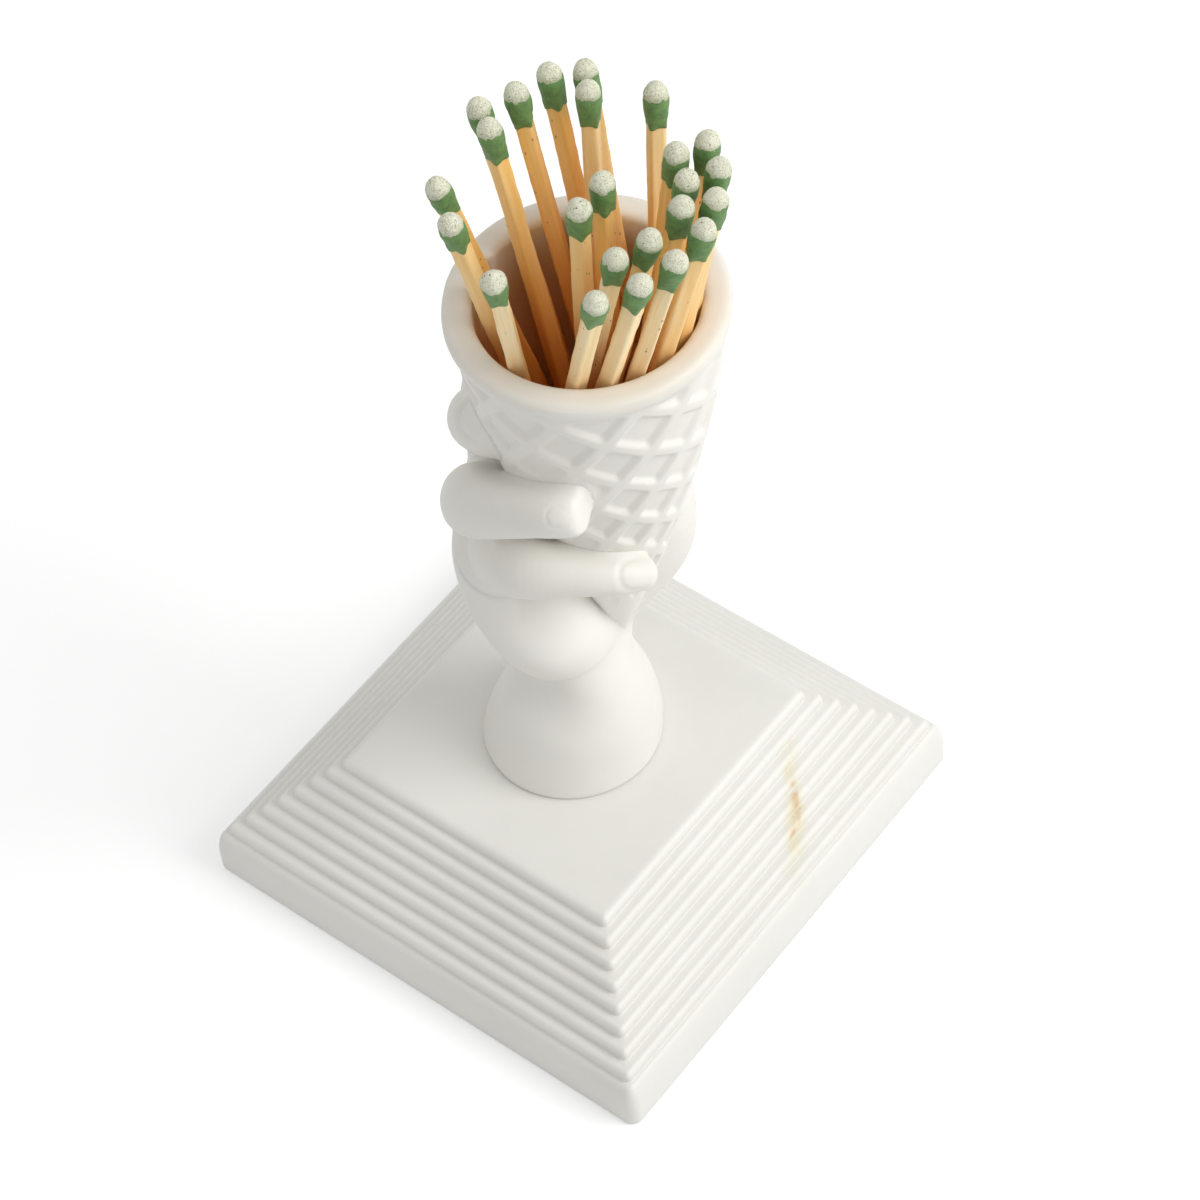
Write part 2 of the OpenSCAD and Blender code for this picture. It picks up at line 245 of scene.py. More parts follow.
class Shader:
    """A small builder for the node tree of one material."""

    def __init__(self, name: str) -> None:
        """Start a material with a plain surface shader.

        Args:
            name: The material's name.
        """
        self.material = bpy.data.materials.new(name)
        self.material.use_nodes = True
        self.tree = self.material.node_tree
        self.surface = self.tree.nodes["Principled BSDF"]

    def add(self, kind: str, inputs: dict[str | int, object], **settings: object) -> bpy.types.Node:
        """Add a node.

        Args:
            kind: Blender's name for the node type.
            inputs: Values or sockets for its inputs.
            settings: Values for its own properties.

        Returns:
            The new node.
        """
        node = self.tree.nodes.new(kind)
        for key, value in settings.items():
            setattr(node, key, value)
        for key, value in inputs.items():
            self.put(node.inputs[key], value)
        return node

    def put(self, socket: Socket, value: object) -> None:
        """Link a socket to an input, or set its value.

        Args:
            socket: The input.
            value: A socket, or a plain value.
        """
        if isinstance(value, Socket):
            self.tree.links.new(value, socket)
        else:
            socket.default_value = value

    def math(
        self, operation: str, a: object, b: object = 0.0, c: object = 0.0, clamp: bool = False
    ) -> Socket:
        """Return the result of one sum."""
        return self.add("ShaderNodeMath", {0: a, 1: b, 2: c}, operation=operation, use_clamp=clamp).outputs[0]

    def times(self, first: object, *others: object) -> Socket:
        """Multiply values.

        Args:
            first: The first value or socket.
            others: The other values or sockets.

        Returns:
            The product.
        """
        for other in others:
            first = self.math("MULTIPLY", first, other)
        return first

    def ramp(self, factor: object, low: float, high: float, start: float = 0.0, end: float = 1.0) -> Socket:
        """Return a smooth rise from start to end while the factor goes from low to high."""
        inputs = {"Value": factor, "From Min": low, "From Max": high, "To Min": start, "To Max": end}
        return self.add("ShaderNodeMapRange", inputs, interpolation_type="SMOOTHSTEP").outputs[0]

    def mix(self, factor: object, a: object, b: object) -> Socket:
        """Blend two colours.

        Args:
            factor: The share of the second colour.
            a: The first colour, or a socket that gives it.
            b: The second colour, or a socket that gives it.

        Returns:
            The blend.
        """
        node = self.add("ShaderNodeMix", {0: factor}, data_type="RGBA")
        self.put(node.inputs[6], a if isinstance(a, Socket) else (*a, 1.0))
        self.put(node.inputs[7], b if isinstance(b, Socket) else (*b, 1.0))
        return node.outputs[2]

    def noise(self, vector: object, scale: float, detail: float = 3.0, rough: float = 0.5) -> Socket:
        """Return a noise value around one half."""
        inputs = {"Vector": vector, "Scale": scale, "Detail": detail, "Roughness": rough}
        return self.add("ShaderNodeTexNoise", inputs).outputs[0]

    def cells(self, vector: object, scale: float) -> tuple[Socket, Socket]:
        """Return the distance to the nearest of many scattered points, and that point's own random value."""
        node = self.add("ShaderNodeTexVoronoi", {"Vector": vector, "Scale": scale})
        return node.outputs["Distance"], self.axis(node.outputs["Color"], 0)

    def place(self) -> Socket:
        """Return the place on the piece, in metres."""
        return self.add("ShaderNodeTexCoord", {}).outputs["Object"]

    def attribute(self, name: str, output: str) -> Socket:
        """Return a value that is stored on the mesh."""
        return self.add("ShaderNodeAttribute", {}, attribute_name=name).outputs[output]

    def stretched(self, vector: object, scale: Triple) -> Socket:
        """Return a place scaled by its own amount along each axis."""
        return self.add("ShaderNodeVectorMath", {0: vector, 1: scale}, operation="MULTIPLY").outputs[0]

    def along(self, vector: object, direction: Triple) -> Socket:
        """Return how far a place lies along a direction."""
        return self.add("ShaderNodeVectorMath", {0: vector, 1: direction}, operation="DOT_PRODUCT").outputs[1]

    def axis(self, vector: object, axis: int) -> Socket:
        """Return one coordinate of a place."""
        return self.add("ShaderNodeSeparateXYZ", {0: vector}).outputs[axis]

    def translucent(self, weight: float, reach: Triple) -> None:
        """Let light a little way into the surface.

        Args:
            weight: The share of the light that goes in.
            reach: How far red, green and blue light goes, in metres.
        """
        self.surface.inputs["Subsurface Weight"].default_value = weight
        self.surface.inputs["Subsurface Radius"].default_value = reach
        self.surface.inputs["Subsurface Scale"].default_value = 1.0

    def finish(
        self, colour: object, roughness: float, bump: object, height: float, strength: float
    ) -> bpy.types.Material:
        """Connect the surface.

        Args:
            colour: The base colour, or a socket that gives it.
            roughness: How matte the surface is.
            bump: The socket that gives the relief.
            height: The relief's height, in metres.
            strength: How strongly the relief shows.

        Returns:
            The finished material.
        """
        self.put(self.surface.inputs["Base Color"], colour)
        self.surface.inputs["Roughness"].default_value = roughness
        relief = self.add("ShaderNodeBump", {"Height": bump, "Distance": height, "Strength": strength})
        self.put(self.surface.inputs["Normal"], relief.outputs[0])
        return self.material


@dataclass(frozen=True)
class MarbleFinish:
    """Honed off-white marble with one rusty vein on its right-hand steps.

    Lengths are in metres. Each span is the place where an effect starts and the place where it is full.
    """

    stone: Triple = (0.82, 0.81, 0.765)
    cloud: Triple = (0.765, 0.755, 0.71)
    cloud_share: float = 0.55
    vein_side: Triple = (0.765, 0.6436, 0.0234)
    vein_from_middle: float = 0.03988
    vein_wander: float = 0.0034
    vein_starts: Span = (0.028, 0.031)
    halo: Triple = (0.79, 0.72, 0.52)
    halo_share: float = 0.8
    halo_width: Span = (0.0024, 0.0002)
    halo_foot: Span = (0.0085, 0.0135)
    halo_top: Span = (0.0272, 0.0210)
    rust: Triple = (0.64, 0.40, 0.19)
    rust_share: float = 0.72
    rust_width: Span = (0.0010, 0.0001)
    rust_foot: Span = (0.0150, 0.0162)
    rust_top: Span = (0.0218, 0.0202)
    light_in: float = 0.12
    light_reach: Triple = (0.0022, 0.0019, 0.0015)
    roughness: float = 0.42
    grain_height: float = 0.00003

    def material(self) -> bpy.types.Material:
        """Make the marble.

        Returns:
            The material.
        """
        s = Shader("marble")
        place = s.place()
        clouds = s.ramp(s.noise(place, 26.0, 5.0, 0.6), 0.42, 0.68)
        colour = s.mix(s.times(clouds, self.cloud_share), self.stone, self.cloud)
        # The vein is a thin sheet through the stone, seen where it leaves the steps on the +X side
        z = s.axis(place, 2)
        through = s.math("SUBTRACT", s.along(place, self.vein_side), self.vein_from_middle)
        wander = s.times(s.math("SUBTRACT", s.noise(place, 110.0, 2.0, 0.5), 0.5), self.vein_wander)
        away = s.math("ABSOLUTE", s.math("ADD", through, wander))
        length = s.times(s.ramp(z, *self.halo_foot), s.ramp(z, *self.halo_top))
        shown = s.times(length, s.ramp(s.axis(place, 0), *self.vein_starts))
        patches = s.ramp(s.noise(place, 210.0, 3.0, 0.55), 0.34, 0.64, 0.25, 1.0)
        halo = s.times(s.ramp(away, *self.halo_width), shown, patches, self.halo_share)
        colour = s.mix(halo, colour, self.halo)
        heart = s.times(s.ramp(z, *self.rust_foot), s.ramp(z, *self.rust_top))
        beads = s.ramp(s.noise(place, 330.0, 2.0, 0.5), 0.38, 0.60, 0.2, 1.0)
        rust = s.times(s.ramp(away, *self.rust_width), shown, heart, beads, self.rust_share)
        colour = s.mix(rust, colour, self.rust)
        s.translucent(self.light_in, self.light_reach)
        grain = s.noise(place, 1400.0, 3.0, 0.6)
        return s.finish(colour, self.roughness, grain, self.grain_height, 0.6)


@dataclass(frozen=True)
class BisqueFinish:
    """Unglazed white ceramic, with painted warm bounce light from the matches and painted shade inside the
    cup.

    Each span is where a tint starts and where it is full, in metres above the rim.
    """

    clay: Triple = (0.84, 0.825, 0.775)
    warm: Triple = (0.81, 0.785, 0.725)
    warm_share: float = 0.6
    cream: Triple = (0.80, 0.75, 0.65)
    cream_share: float = 0.45
    cream_above_rim: Span = (-0.0005, 0.0018)
    painted_bounce_tan: Triple = (0.94, 0.71, 0.42)
    painted_bounce_tan_above_rim: Span = (0.001, -0.010)
    painted_bounce_brown: Triple = (0.92, 0.51, 0.18)
    painted_bounce_brown_above_rim: Span = (-0.006, -0.026)
    height_waver: float = 0.004
    light_in: float = 0.15
    light_reach: Triple = (0.0016, 0.0013, 0.0010)
    roughness: float = 0.5
    grain_height: float = 0.00002

    def material(self, name: str, rim_height: float | None) -> bpy.types.Material:
        """Make the ceramic.

        Args:
            name: The material's name.
            rim_height: Height of the cup's rim in metres, or None where there is no cup.

        Returns:
            The material. Inside a cup its painted bounce light and shade grow from the rim to the floor.
        """
        s = Shader(name)
        place = s.place()
        warmth = s.ramp(s.noise(place, 60.0, 4.0, 0.55), 0.4, 0.66, 0.0, self.warm_share)
        colour = s.mix(warmth, self.clay, self.warm)
        if rim_height is not None:
            inner = s.attribute("inner", "Fac")
            height = s.math("MULTIPLY_ADD", s.noise(place, 120.0, 2.0), self.height_waver, s.axis(place, 2))
            cream = s.ramp(height, *(rim_height + up for up in self.cream_above_rim), 0.0, self.cream_share)
            # Painted warm bounce light from the matches and painted shade, growing deeper down inside the cup
            painted_bounce_tan = s.times(s.ramp(height, *(rim_height + up for up in self.painted_bounce_tan_above_rim)), inner)
            painted_bounce_brown = s.times(s.ramp(height, *(rim_height + up for up in self.painted_bounce_brown_above_rim)), inner)
            colour = s.mix(cream, colour, self.cream)
            colour = s.mix(painted_bounce_tan, colour, self.painted_bounce_tan)
            colour = s.mix(painted_bounce_brown, colour, self.painted_bounce_brown)
        s.translucent(self.light_in, self.light_reach)
        grain = s.noise(place, 2200.0, 4.0, 0.6)
        return s.finish(colour, self.roughness, grain, self.grain_height, 0.5)


@dataclass(frozen=True)
class WoodFinish:
    """Bare sawn softwood with long grain and small dark pores, with painted shade and warm bounce light of
    the cup lower down.

    Its painted shade runs between two places along a splint, in millimetres from the splint's foot.
    """

    pale: Triple = (0.98, 0.82, 0.51)
    gold: Triple = (0.95, 0.56, 0.145)
    painted_cup_shade: Triple = (0.90, 0.37, 0.05)
    painted_shade_along: Span = (60.0, 17.0)
    painted_shade_share: float = 0.92
    pore: Triple = (0.16, 0.06, 0.02)
    pore_share: float = 0.7
    fibre_cells: Triple = (2.6, 2.6, 0.07)
    broad_cells: Triple = (0.6, 0.6, 0.03)
    pore_cells: Triple = (0.75, 0.75, 0.30)
    roughness: float = 0.62
    grain_height: float = 0.00009

    def material(self) -> bpy.types.Material:
        """Make the wood.

        Returns:
            The material. It reads the splint's own place and tone from the mesh.
        """
        s = Shader("splint_wood")
        place = s.attribute("grain_place", "Vector")
        tone = s.attribute("tone", "Fac")
        fibres = s.noise(s.stretched(place, self.fibre_cells), 1.0, 4.0, 0.6)
        broad = s.noise(s.stretched(place, self.broad_cells), 1.0, 2.0, 0.5)
        blend = s.math("ADD", tone, s.times(s.math("SUBTRACT", broad, 0.5), 0.9), clamp=True)
        colour = s.mix(blend, self.pale, self.gold)
        colour = s.mix(s.ramp(fibres, 0.42, 0.7, 0.0, 0.34), colour, self.gold)
        # Painted shade and warm bounce light of the cup, stronger towards the splint's foot
        depth = s.ramp(s.axis(place, 2), *self.painted_shade_along)
        colour = s.mix(s.times(depth, self.painted_shade_share), colour, self.painted_cup_shade)
        distance, chance = s.cells(s.stretched(place, self.pore_cells), 1.0)
        pores = s.times(s.ramp(distance, 0.13, 0.06), s.ramp(chance, 0.45, 0.55), self.pore_share)
        colour = s.mix(pores, colour, self.pore)
        return s.finish(colour, self.roughness, fibres, self.grain_height, 0.7)


@dataclass(frozen=True)
class CompoundFinish:
    """Dipped match compound: one colour with specks of another, and a grainy skin."""

    name: str
    body: Triple
    shade: Triple
    speck: Triple
    pit: Triple
    speck_share: float
    grain_height: float
    roughness: float = 0.6

    def material(self) -> bpy.types.Material:
        """Make the compound.

        Returns:
            The material. It reads the match's own place and the coat's edge from the mesh.
        """
        s = Shader(self.name)
        place = s.attribute("grain_place", "Vector")
        colour = s.mix(s.ramp(s.noise(place, 0.9, 3.0), 0.35, 0.7), self.body, self.shade)
        specks = s.ramp(s.noise(place, 5.5, 2.0, 0.6), 0.70 - self.speck_share, 0.76 - self.speck_share)
        at_edge = s.times(s.noise(place, 4.0, 2.0), s.attribute("edge", "Fac"))
        colour = s.mix(s.math("MAXIMUM", s.times(specks, 0.75), at_edge), colour, self.speck)
        distance, chance = s.cells(place, 0.8)
        pits = s.times(s.ramp(distance, 0.16, 0.08), s.ramp(chance, 0.66, 0.70), 0.85)
        colour = s.mix(pits, colour, self.pit)
        grain = s.math("ADD", s.noise(place, 3.2, 4.0, 0.65), s.times(specks, -0.5))
        return s.finish(colour, self.roughness, grain, self.grain_height, 0.9)


# The marble block


@dataclass
class SteppedBlock:
    """The marble block: a slab with a thick nose, and steps with small noses up to a flat top.

    A nose is a quarter oval, given by its width and height. Each row of an edge says how far the row lies
    outside the wall above, how high it is, and how much larger its corner is.
    """

    base_side: float = 100.0
    slab_height: float = 10.4
    slab_nose: Span = (2.2, 6.2)
    slab_corner: float = 2.4
    slab_ledge: float = 2.5
    slab_foot: float = 0.7
    slab_foot_edge: Rows = ((-0.7, 0.0, -0.6), (-0.2, 0.2, -0.2))
    step_count: int = 8
    step_rise: float = 2.2
    step_run: float = 2.36
    step_nose: Span = (1.25, 1.15)
    step_corner: float = 1.0
    step_foot: float = 0.22
    step_foot_edge: Rows = ((0.22, 0.0, 0.2), (0.06, 0.06, 0.1))
    top_nose: Span = (1.7, 1.3)
    top_rings: tuple[float, ...] = (0.97, 0.8, 0.45)
    least_corner: float = 0.3
    nose_rows: int = 8
    side_points: int = 90
    corner_points: int = 9
    wear: float = 0.07
    wear_cells: Span = (9.0, 2.6)
    wear_half: float = 45.0
    finish: MarbleFinish = field(default_factory=MarbleFinish)

    def plate(self, half: float, low: float, high: float, corner: float, nose: Span) -> list[Triple]:
        """Lay out one plate.

        Args:
            half: Half of its width.
            low: Height of its wall's foot.
            high: Height of its top.
            corner: Radius of its corners.
            nose: Width and height of its nose.

        Returns:
            Rows of half width, height and corner radius up its wall and round its nose.
        """
        rows = [(half, low, corner), (half, (low + high - nose[1]) / 2, corner)]
        for k in range(self.nose_rows + 1):
            a = math.radians(90 * k / self.nose_rows)
            inset = nose[0] * (1 - math.cos(a))
            rows.append((half - inset, high - nose[1] * (1 - math.sin(a)), corner - inset * 0.9))
        return rows

    def profile(self) -> list[Triple]:
        """Lay out the whole outline.

        Returns:
            Rows of half width, height and corner radius, from the underside's edge up to the flat top.
        """
        half, corner = self.base_side / 2, self.slab_corner
        rows = [(half + out, up, corner + more) for out, up, more in self.slab_foot_edge]
        rows += self.plate(half, self.slab_foot, self.slab_height, corner, self.slab_nose)
        for k in range(self.step_count):
            wall = half - self.slab_ledge - k * self.step_run
            low = self.slab_height + k * self.step_rise
            nose = self.top_nose if k == self.step_count - 1 else self.step_nose
            rows += [(wall + out, low + up, self.step_corner + more) for out, up, more in self.step_foot_edge]
            rows += self.plate(wall, low + self.step_foot, low + self.step_rise, self.step_corner, nose)
        return rows

    def ring(self, half: float, z: float, corner: float) -> np.ndarray:
        """Lay points round a rounded square.

        Args:
            half: Half of its width.
            z: Its height.
            corner: Radius of its corners.

        Returns:
            The points.
        """
        corner = max(corner, self.least_corner)
        flat = half - corner
        points = []
        for side in range(4):
            c, s = math.cos(math.pi / 2 * side), math.sin(math.pi / 2 * side)
            run = [(half, flat * (2 * k / self.side_points - 1)) for k in range(self.side_points)]
            turn = [math.pi / 2 * k / self.corner_points for k in range(self.corner_points)]
            run += [(flat + corner * math.cos(a), flat + corner * math.sin(a)) for a in turn]
            points += [(x * c - y * s, x * s + y * c, z) for x, y in run]
        return np.array(points)

    def worn(self, points: np.ndarray, top: float) -> np.ndarray:
        """Wear the sides a little uneven.

        Args:
            points: The block's points.
            top: Height of its flat top.

        Returns:
            The moved points, none of them outside the block's own size.
        """
        broad, fine = self.wear_cells
        wobble = value_noise(points / broad, 3) * 0.7 + value_noise(points / fine, 4) * 0.3
        side = smoothstep(0.4, 2.0, points[:, 2]) * smoothstep(0.0, 1.0, top + 0.3 - points[:, 2])
        points[:, :2] *= (1 - self.wear * wobble * side / self.wear_half)[:, None]
        points[:, 2] += self.wear * 0.6 * np.roll(wobble, 7) * side
        half = self.base_side / 2
        return np.clip(points, [-half, -half, 0], [half, half, top])

    def build(self) -> None:
        """Build the block and let it stand for its CAD node."""
        rows = self.profile()
        rings = [self.ring(*row) for row in rows]
        # The flat top closes in a few smaller rings and a middle point
        top_half, top, corner = rows[-1]
        rings += [self.ring(top_half * share, top, corner * share + 0.3) for share in self.top_rings]
        count = len(rings[0])
        points = np.vstack([self.worn(np.concatenate(rings), top), [[0, 0, top], [0, 0, 0]]])
        top_middle, foot_middle = len(points) - 2, len(points) - 1
        last = (len(rings) - 1) * count
        faces = grid_faces(len(rings), count)
        faces += [(last + k, last + (k + 1) % count, top_middle) for k in range(count)]
        faces += [((k + 1) % count, k, foot_middle) for k in range(count)]
        piece = new_piece("stepped_block", points, faces, self.finish.material())
        settle(piece, Slot.MARBLE, "marble_base")


# The waffle cone


@dataclass(frozen=True)
class CastingFrame:
    """The frame of hand and cone, in millimetres: x right, y away and z up from the block's top."""

    plateau: float
    turn: float = 45.0
    cone_offset: float = 11.0

    def to_row(self, points: np.ndarray) -> np.ndarray:
        """Turn points of this frame into points of the row frame.

        Args:
            points: Points of this frame.

        Returns:
            The same points in the row frame, in millimetres.
        """
        c, s = math.cos(math.radians(self.turn)), math.sin(math.radians(self.turn))
        x, y, z = points[:, 0], points[:, 1], points[:, 2]
        return np.stack([x * c - y * s, x * s + y * c, z + self.plateau], axis=1)

    def from_cone_axis(self, points: np.ndarray) -> np.ndarray:
        """Return how far points lie from the cone's upright axis."""
        return np.hypot(points[:, 0] - self.cone_offset, points[:, 1])


@dataclass(frozen=True)
class Ridges:
    """One family of waffle ridges: their number, the first one's azimuth and their turn per millimetre up."""

    count: int
    start: float
    turn: float

    def distance(self, angle: np.ndarray, above: np.ndarray, r: np.ndarray) -> np.ndarray:
        """Find the distance to the nearest ridge.

        Args:
            angle: Azimuths, in degrees.
            above: Heights above the place where the first ridge has its azimuth.
            r: Radii.

        Returns:
            Distances across the ridge, in millimetres.
        """
        pitch = 360 / self.count
        off = (angle - self.start - self.turn * above) / pitch
        off = np.abs(off - np.round(off)) * math.radians(pitch) * r
        return off / np.sqrt(1 + (r * math.radians(self.turn)) ** 2)


@dataclass
class WaffleCone:
    """The cone's cup and rim, with rounded waffle ridges in two families of helices."""

    frame: CastingFrame
    rim_height: float = 116.6
    point_height: float = 26.0
    cone_radius: float = 23.0
    fullness: float = 1.5
    band_height: float = 3.4
    wall: float = 2.6
    cup_depth: float = 42.6
    floor_round: float = 1.2
    floor_rings: tuple[float, ...] = (0.7, 0.35, 0.001)
    lip_top: float = 117.0
    lip_radius: float = 23.75
    lip_width: float = 5.05
    lip_rise: float = 1.9
    lip_drop: float = 2.5
    lip_power: float = 2.8
    lip_under: float = -38.0
    steep: Ridges = Ridges(12, -88.0, 1.9)
    shallow: Ridges = Ridges(8, -82.0, -3.9)
    ridge_start: float = 91.0
    depth: float = 0.95
    crest: float = 0.75
    slope: float = 1.25
    waffle_radii: Span = (5.0, 11.0)
    clear_of_hand: Span = (0.4, 3.4)
    uneven: Span = (0.10, 0.03)
    around: int = 380
    up: int = 232
    over_lip: int = 40
    down_cup: int = 44
    finish: BisqueFinish = field(default_factory=BisqueFinish)

    def outer_radius(self, z: np.ndarray) -> np.ndarray:
        """Return the cone's outer radius at each height."""
        t = np.clip(1 - (z - self.point_height) / (self.rim_height - self.point_height), 0, 1)
        return self.cone_radius * (1 - t**self.fullness)

    def relief(self, angle: np.ndarray, z: np.ndarray) -> np.ndarray:
        """Work out the waffle pattern.

        Args:
            angle: Azimuths, in degrees.
            z: Heights.

        Returns:
            How far the surface lies below the ridges' crests.
        """
        r = self.outer_radius(z)
        crest = self.crest * np.clip(r / 9, 0.3, 1)
        slope = self.slope * np.clip(r / 12, 0.35, 1)
        hollow = smoothstep(0.2, 2.2, self.rim_height - self.band_height - z)
        for ridges in (self.steep, self.shallow):
            distance = ridges.distance(angle, z - self.ridge_start, r)
            hollow = hollow * smoothstep(0, 1, (distance - crest) / slope)
        return self.depth * hollow * smoothstep(*self.waffle_radii, r)

    def profile(self) -> tuple[np.ndarray, np.ndarray, np.ndarray]:
        """Lay out the revolved outline from the point, over the rim, to the cup's floor.

        Returns:
            Radii, heights, and a mark of 1 where the outline lies inside the cup.
        """
        start = self.point_height + 0.5
        z = np.linspace(start, self.rim_height - self.band_height, self.up)
        r = self.outer_radius(z) * smoothstep(-0.8, 1.2, z - start)
        parts = [(np.array([0.01]), np.array([start - 0.15]), 0.0), (r, z, 0.0)]
        # The rolled rim, from the band's foot over its crown to the mouth
        crown = self.lip_width / 2
        middle = self.lip_radius - crown
        a = np.radians(np.linspace(self.lip_under, 180, self.over_lip))
        above = np.sin(a) > 0
        power = np.where(above, 2 / self.lip_power, 1.0)
        across = np.sign(np.cos(a)) * np.abs(np.cos(a)) ** power
        rise = np.where(above, self.lip_rise, self.lip_drop) * np.sign(np.sin(a)) * np.abs(np.sin(a)) ** power
        parts.append((middle + crown * across, self.lip_top - self.lip_rise + rise, 0.0))
        # The cup's wall, its rounded foot and its floor
        floor, turn = self.rim_height - self.cup_depth, self.floor_round
        down = np.linspace(self.lip_top - self.lip_rise - 0.7, floor + turn, self.down_cup)
        inner = np.minimum(middle - crown, self.outer_radius(down) - self.wall)
        parts.append((inner, down, 1.0))
        b = np.radians(np.linspace(10, 90, 5))
        parts.append((inner[-1] - turn * (1 - np.cos(b)), floor + turn * (1 - np.sin(b)), 1.0))
        shares = np.array(self.floor_rings)
        parts.append(((inner[-1] - turn) * shares, np.full(len(shares), floor), 1.0))
        radii = np.concatenate([p[0] for p in parts])
        heights = np.concatenate([p[1] for p in parts])
        inside = np.concatenate([np.full(len(p[0]), p[2]) for p in parts])
        return radii, heights, inside

    def build(self, hand_distance: Callable[[np.ndarray], np.ndarray]) -> None:
        """Build the cone. The hand's piece stands for the CAD node of both.

        Args:
            hand_distance: Gives the distance from points to the hand, beside which the waffle fades.
        """
        radii, heights, inside = self.profile()
        angles = np.arange(self.around) * 360 / self.around
        angle, r = (grid.ravel() for grid in np.meshgrid(angles, radii))
        z, inner = np.repeat(heights, self.around), np.repeat(inside, self.around)
        outside = (inner < 0.5) & (z <= self.rim_height - self.band_height)
        hollow = np.where(outside, self.relief(angle, z), 0.0)
        axis = [self.frame.cone_offset, 0, 0]
        a = np.radians(angle)
        r = r - hollow * smoothstep(*self.clear_of_hand, hand_distance(axis + polar(r, a, z)))
        local = axis + polar(r, a, z)
        broad, fine = self.uneven
        uneven = value_noise(local / 5.0, 11) * broad + value_noise(local / 1.7, 12) * fine
        uneven *= smoothstep(4.0, 9.0, r) * (inner < 0.5) * (z < self.rim_height - 0.5)
        local += polar(uneven, a, np.zeros(len(a)))
        rim_top = (self.rim_height + self.frame.plateau) * MM
        material = self.finish.material("bisque_cone", rim_top)
        faces = grid_faces(len(radii), self.around)
        piece = new_piece("waffle_cone", self.frame.to_row(local), faces, material)
        store_floats(piece, "inner", inner)
        settle(piece, Slot.BISQUE)


# The hand


@dataclass(frozen=True)
class Nail:
    """A fingernail: its rows before the digit's end, half length, half width, roll in degrees and relief."""

    back: float
    half_length: float
    half_width: float
    roll: float = 0.0
    relief: float = 1.0


@dataclass(frozen=True)
class Digit:
    """One digit, as the rows of its bone line: x, y, z, half thickness and half height.

    Its last ball lies a share of a row before the last one, and all of its balls are deeper by the inner
    factor on the side of the cone. An end face, a direction and its distance, can cut the tip off flat.
    """

    name: str
    rows: Rows
    nail: Nail
    before_end: float = 0.55
    end_face: tuple[float, float, float, float] | None = None
    inner: float = 1.25


@dataclass(frozen=True)
class Bones:
    """Frames along a digit's bone line: middles, three directions, and half thickness and half height."""

    middle: np.ndarray
    along: np.ndarray
    out: np.ndarray
    across: np.ndarray
    size: np.ndarray


LITTLE = Digit(
    "little",
    (
        (-5, 11, 50, 6, 6),
        (-9, 4, 54, 5, 5.2),
        (-9.2, -4.5, 60, 4.6, 5.8),
        (-5, -12, 64.4, 4.2, 5.6),
        (4, -15.2, 64.5, 3.8, 3.9),
        (11, -15.8, 63.5, 3.4, 3.4),
        (17.2, -13.8, 60.7, 3.3, 2.9),
    ),
    Nail(0.74, 3.9, 2.6, -30, 0.75),
)
RING = Digit(
    "ring",
    (
        (-2, 16, 55, 6.2, 6.2),
        (-9.2, 8, 61.5, 5.8, 5.8),
        (-11.8, -3, 73.4, 5.8, 6.4),
        (-8.2, -12.5, 82.2, 5, 5.2),
        (-2, -18.6, 87.2, 4.5, 4.3),
        (2.6, -21, 89, 4.3, 4.2),
        (6.6, -20.6, 88.4, 3.6, 4),
    ),
    Nail(1.05, 1.8, 1.7, -20, 0.7),
    before_end=0.15,
    end_face=(0.937, -0.321, 0.121, 23.1),
)
MIDDLE = Digit(
    "middle",
    (
        (1, 20.5, 73, 5.6, 6),
        (-3.8, 16, 77.5, 5.2, 5.6),
        (-7.2, 8, 83.5, 5, 5.3),
        (-9.2, -0.5, 91.4, 5, 5.3),
        (-5.2, -7, 93.8, 4, 4.8),
    ),
    Nail(0.5, 3.6, 3.2, -36, 1.4),
)
INDEX = Digit(
    "index",
    (
        (6, 24, 87, 5.6, 5.6),
        (2.4, 25.6, 92, 5, 5.2),
        (-1.6, 23, 98, 4.6, 4.8),
        (-4, 18, 101.4, 4.2, 4.6),
        (-4, 13.5, 102, 3.4, 4),
    ),
    Nail(0.7, 2.8, 2.6),
)
THUMB = Digit(
    "thumb",
    (
        (4.6, 5, 31, 7, 7),
        (12.5, 6.6, 38, 8, 8.7),
        (17.8, 8.2, 48, 8, 9.2),
        (19.3, 12, 61, 6.2, 7.2),
        (20, 17, 73, 5, 6),
        (18.6, 20.5, 83, 4.6, 5.6),
        (15.5, 22, 92, 3.6, 4.6),
    ),
    Nail(0.75, 3.6, 3.1),
    inner=1.0,
)


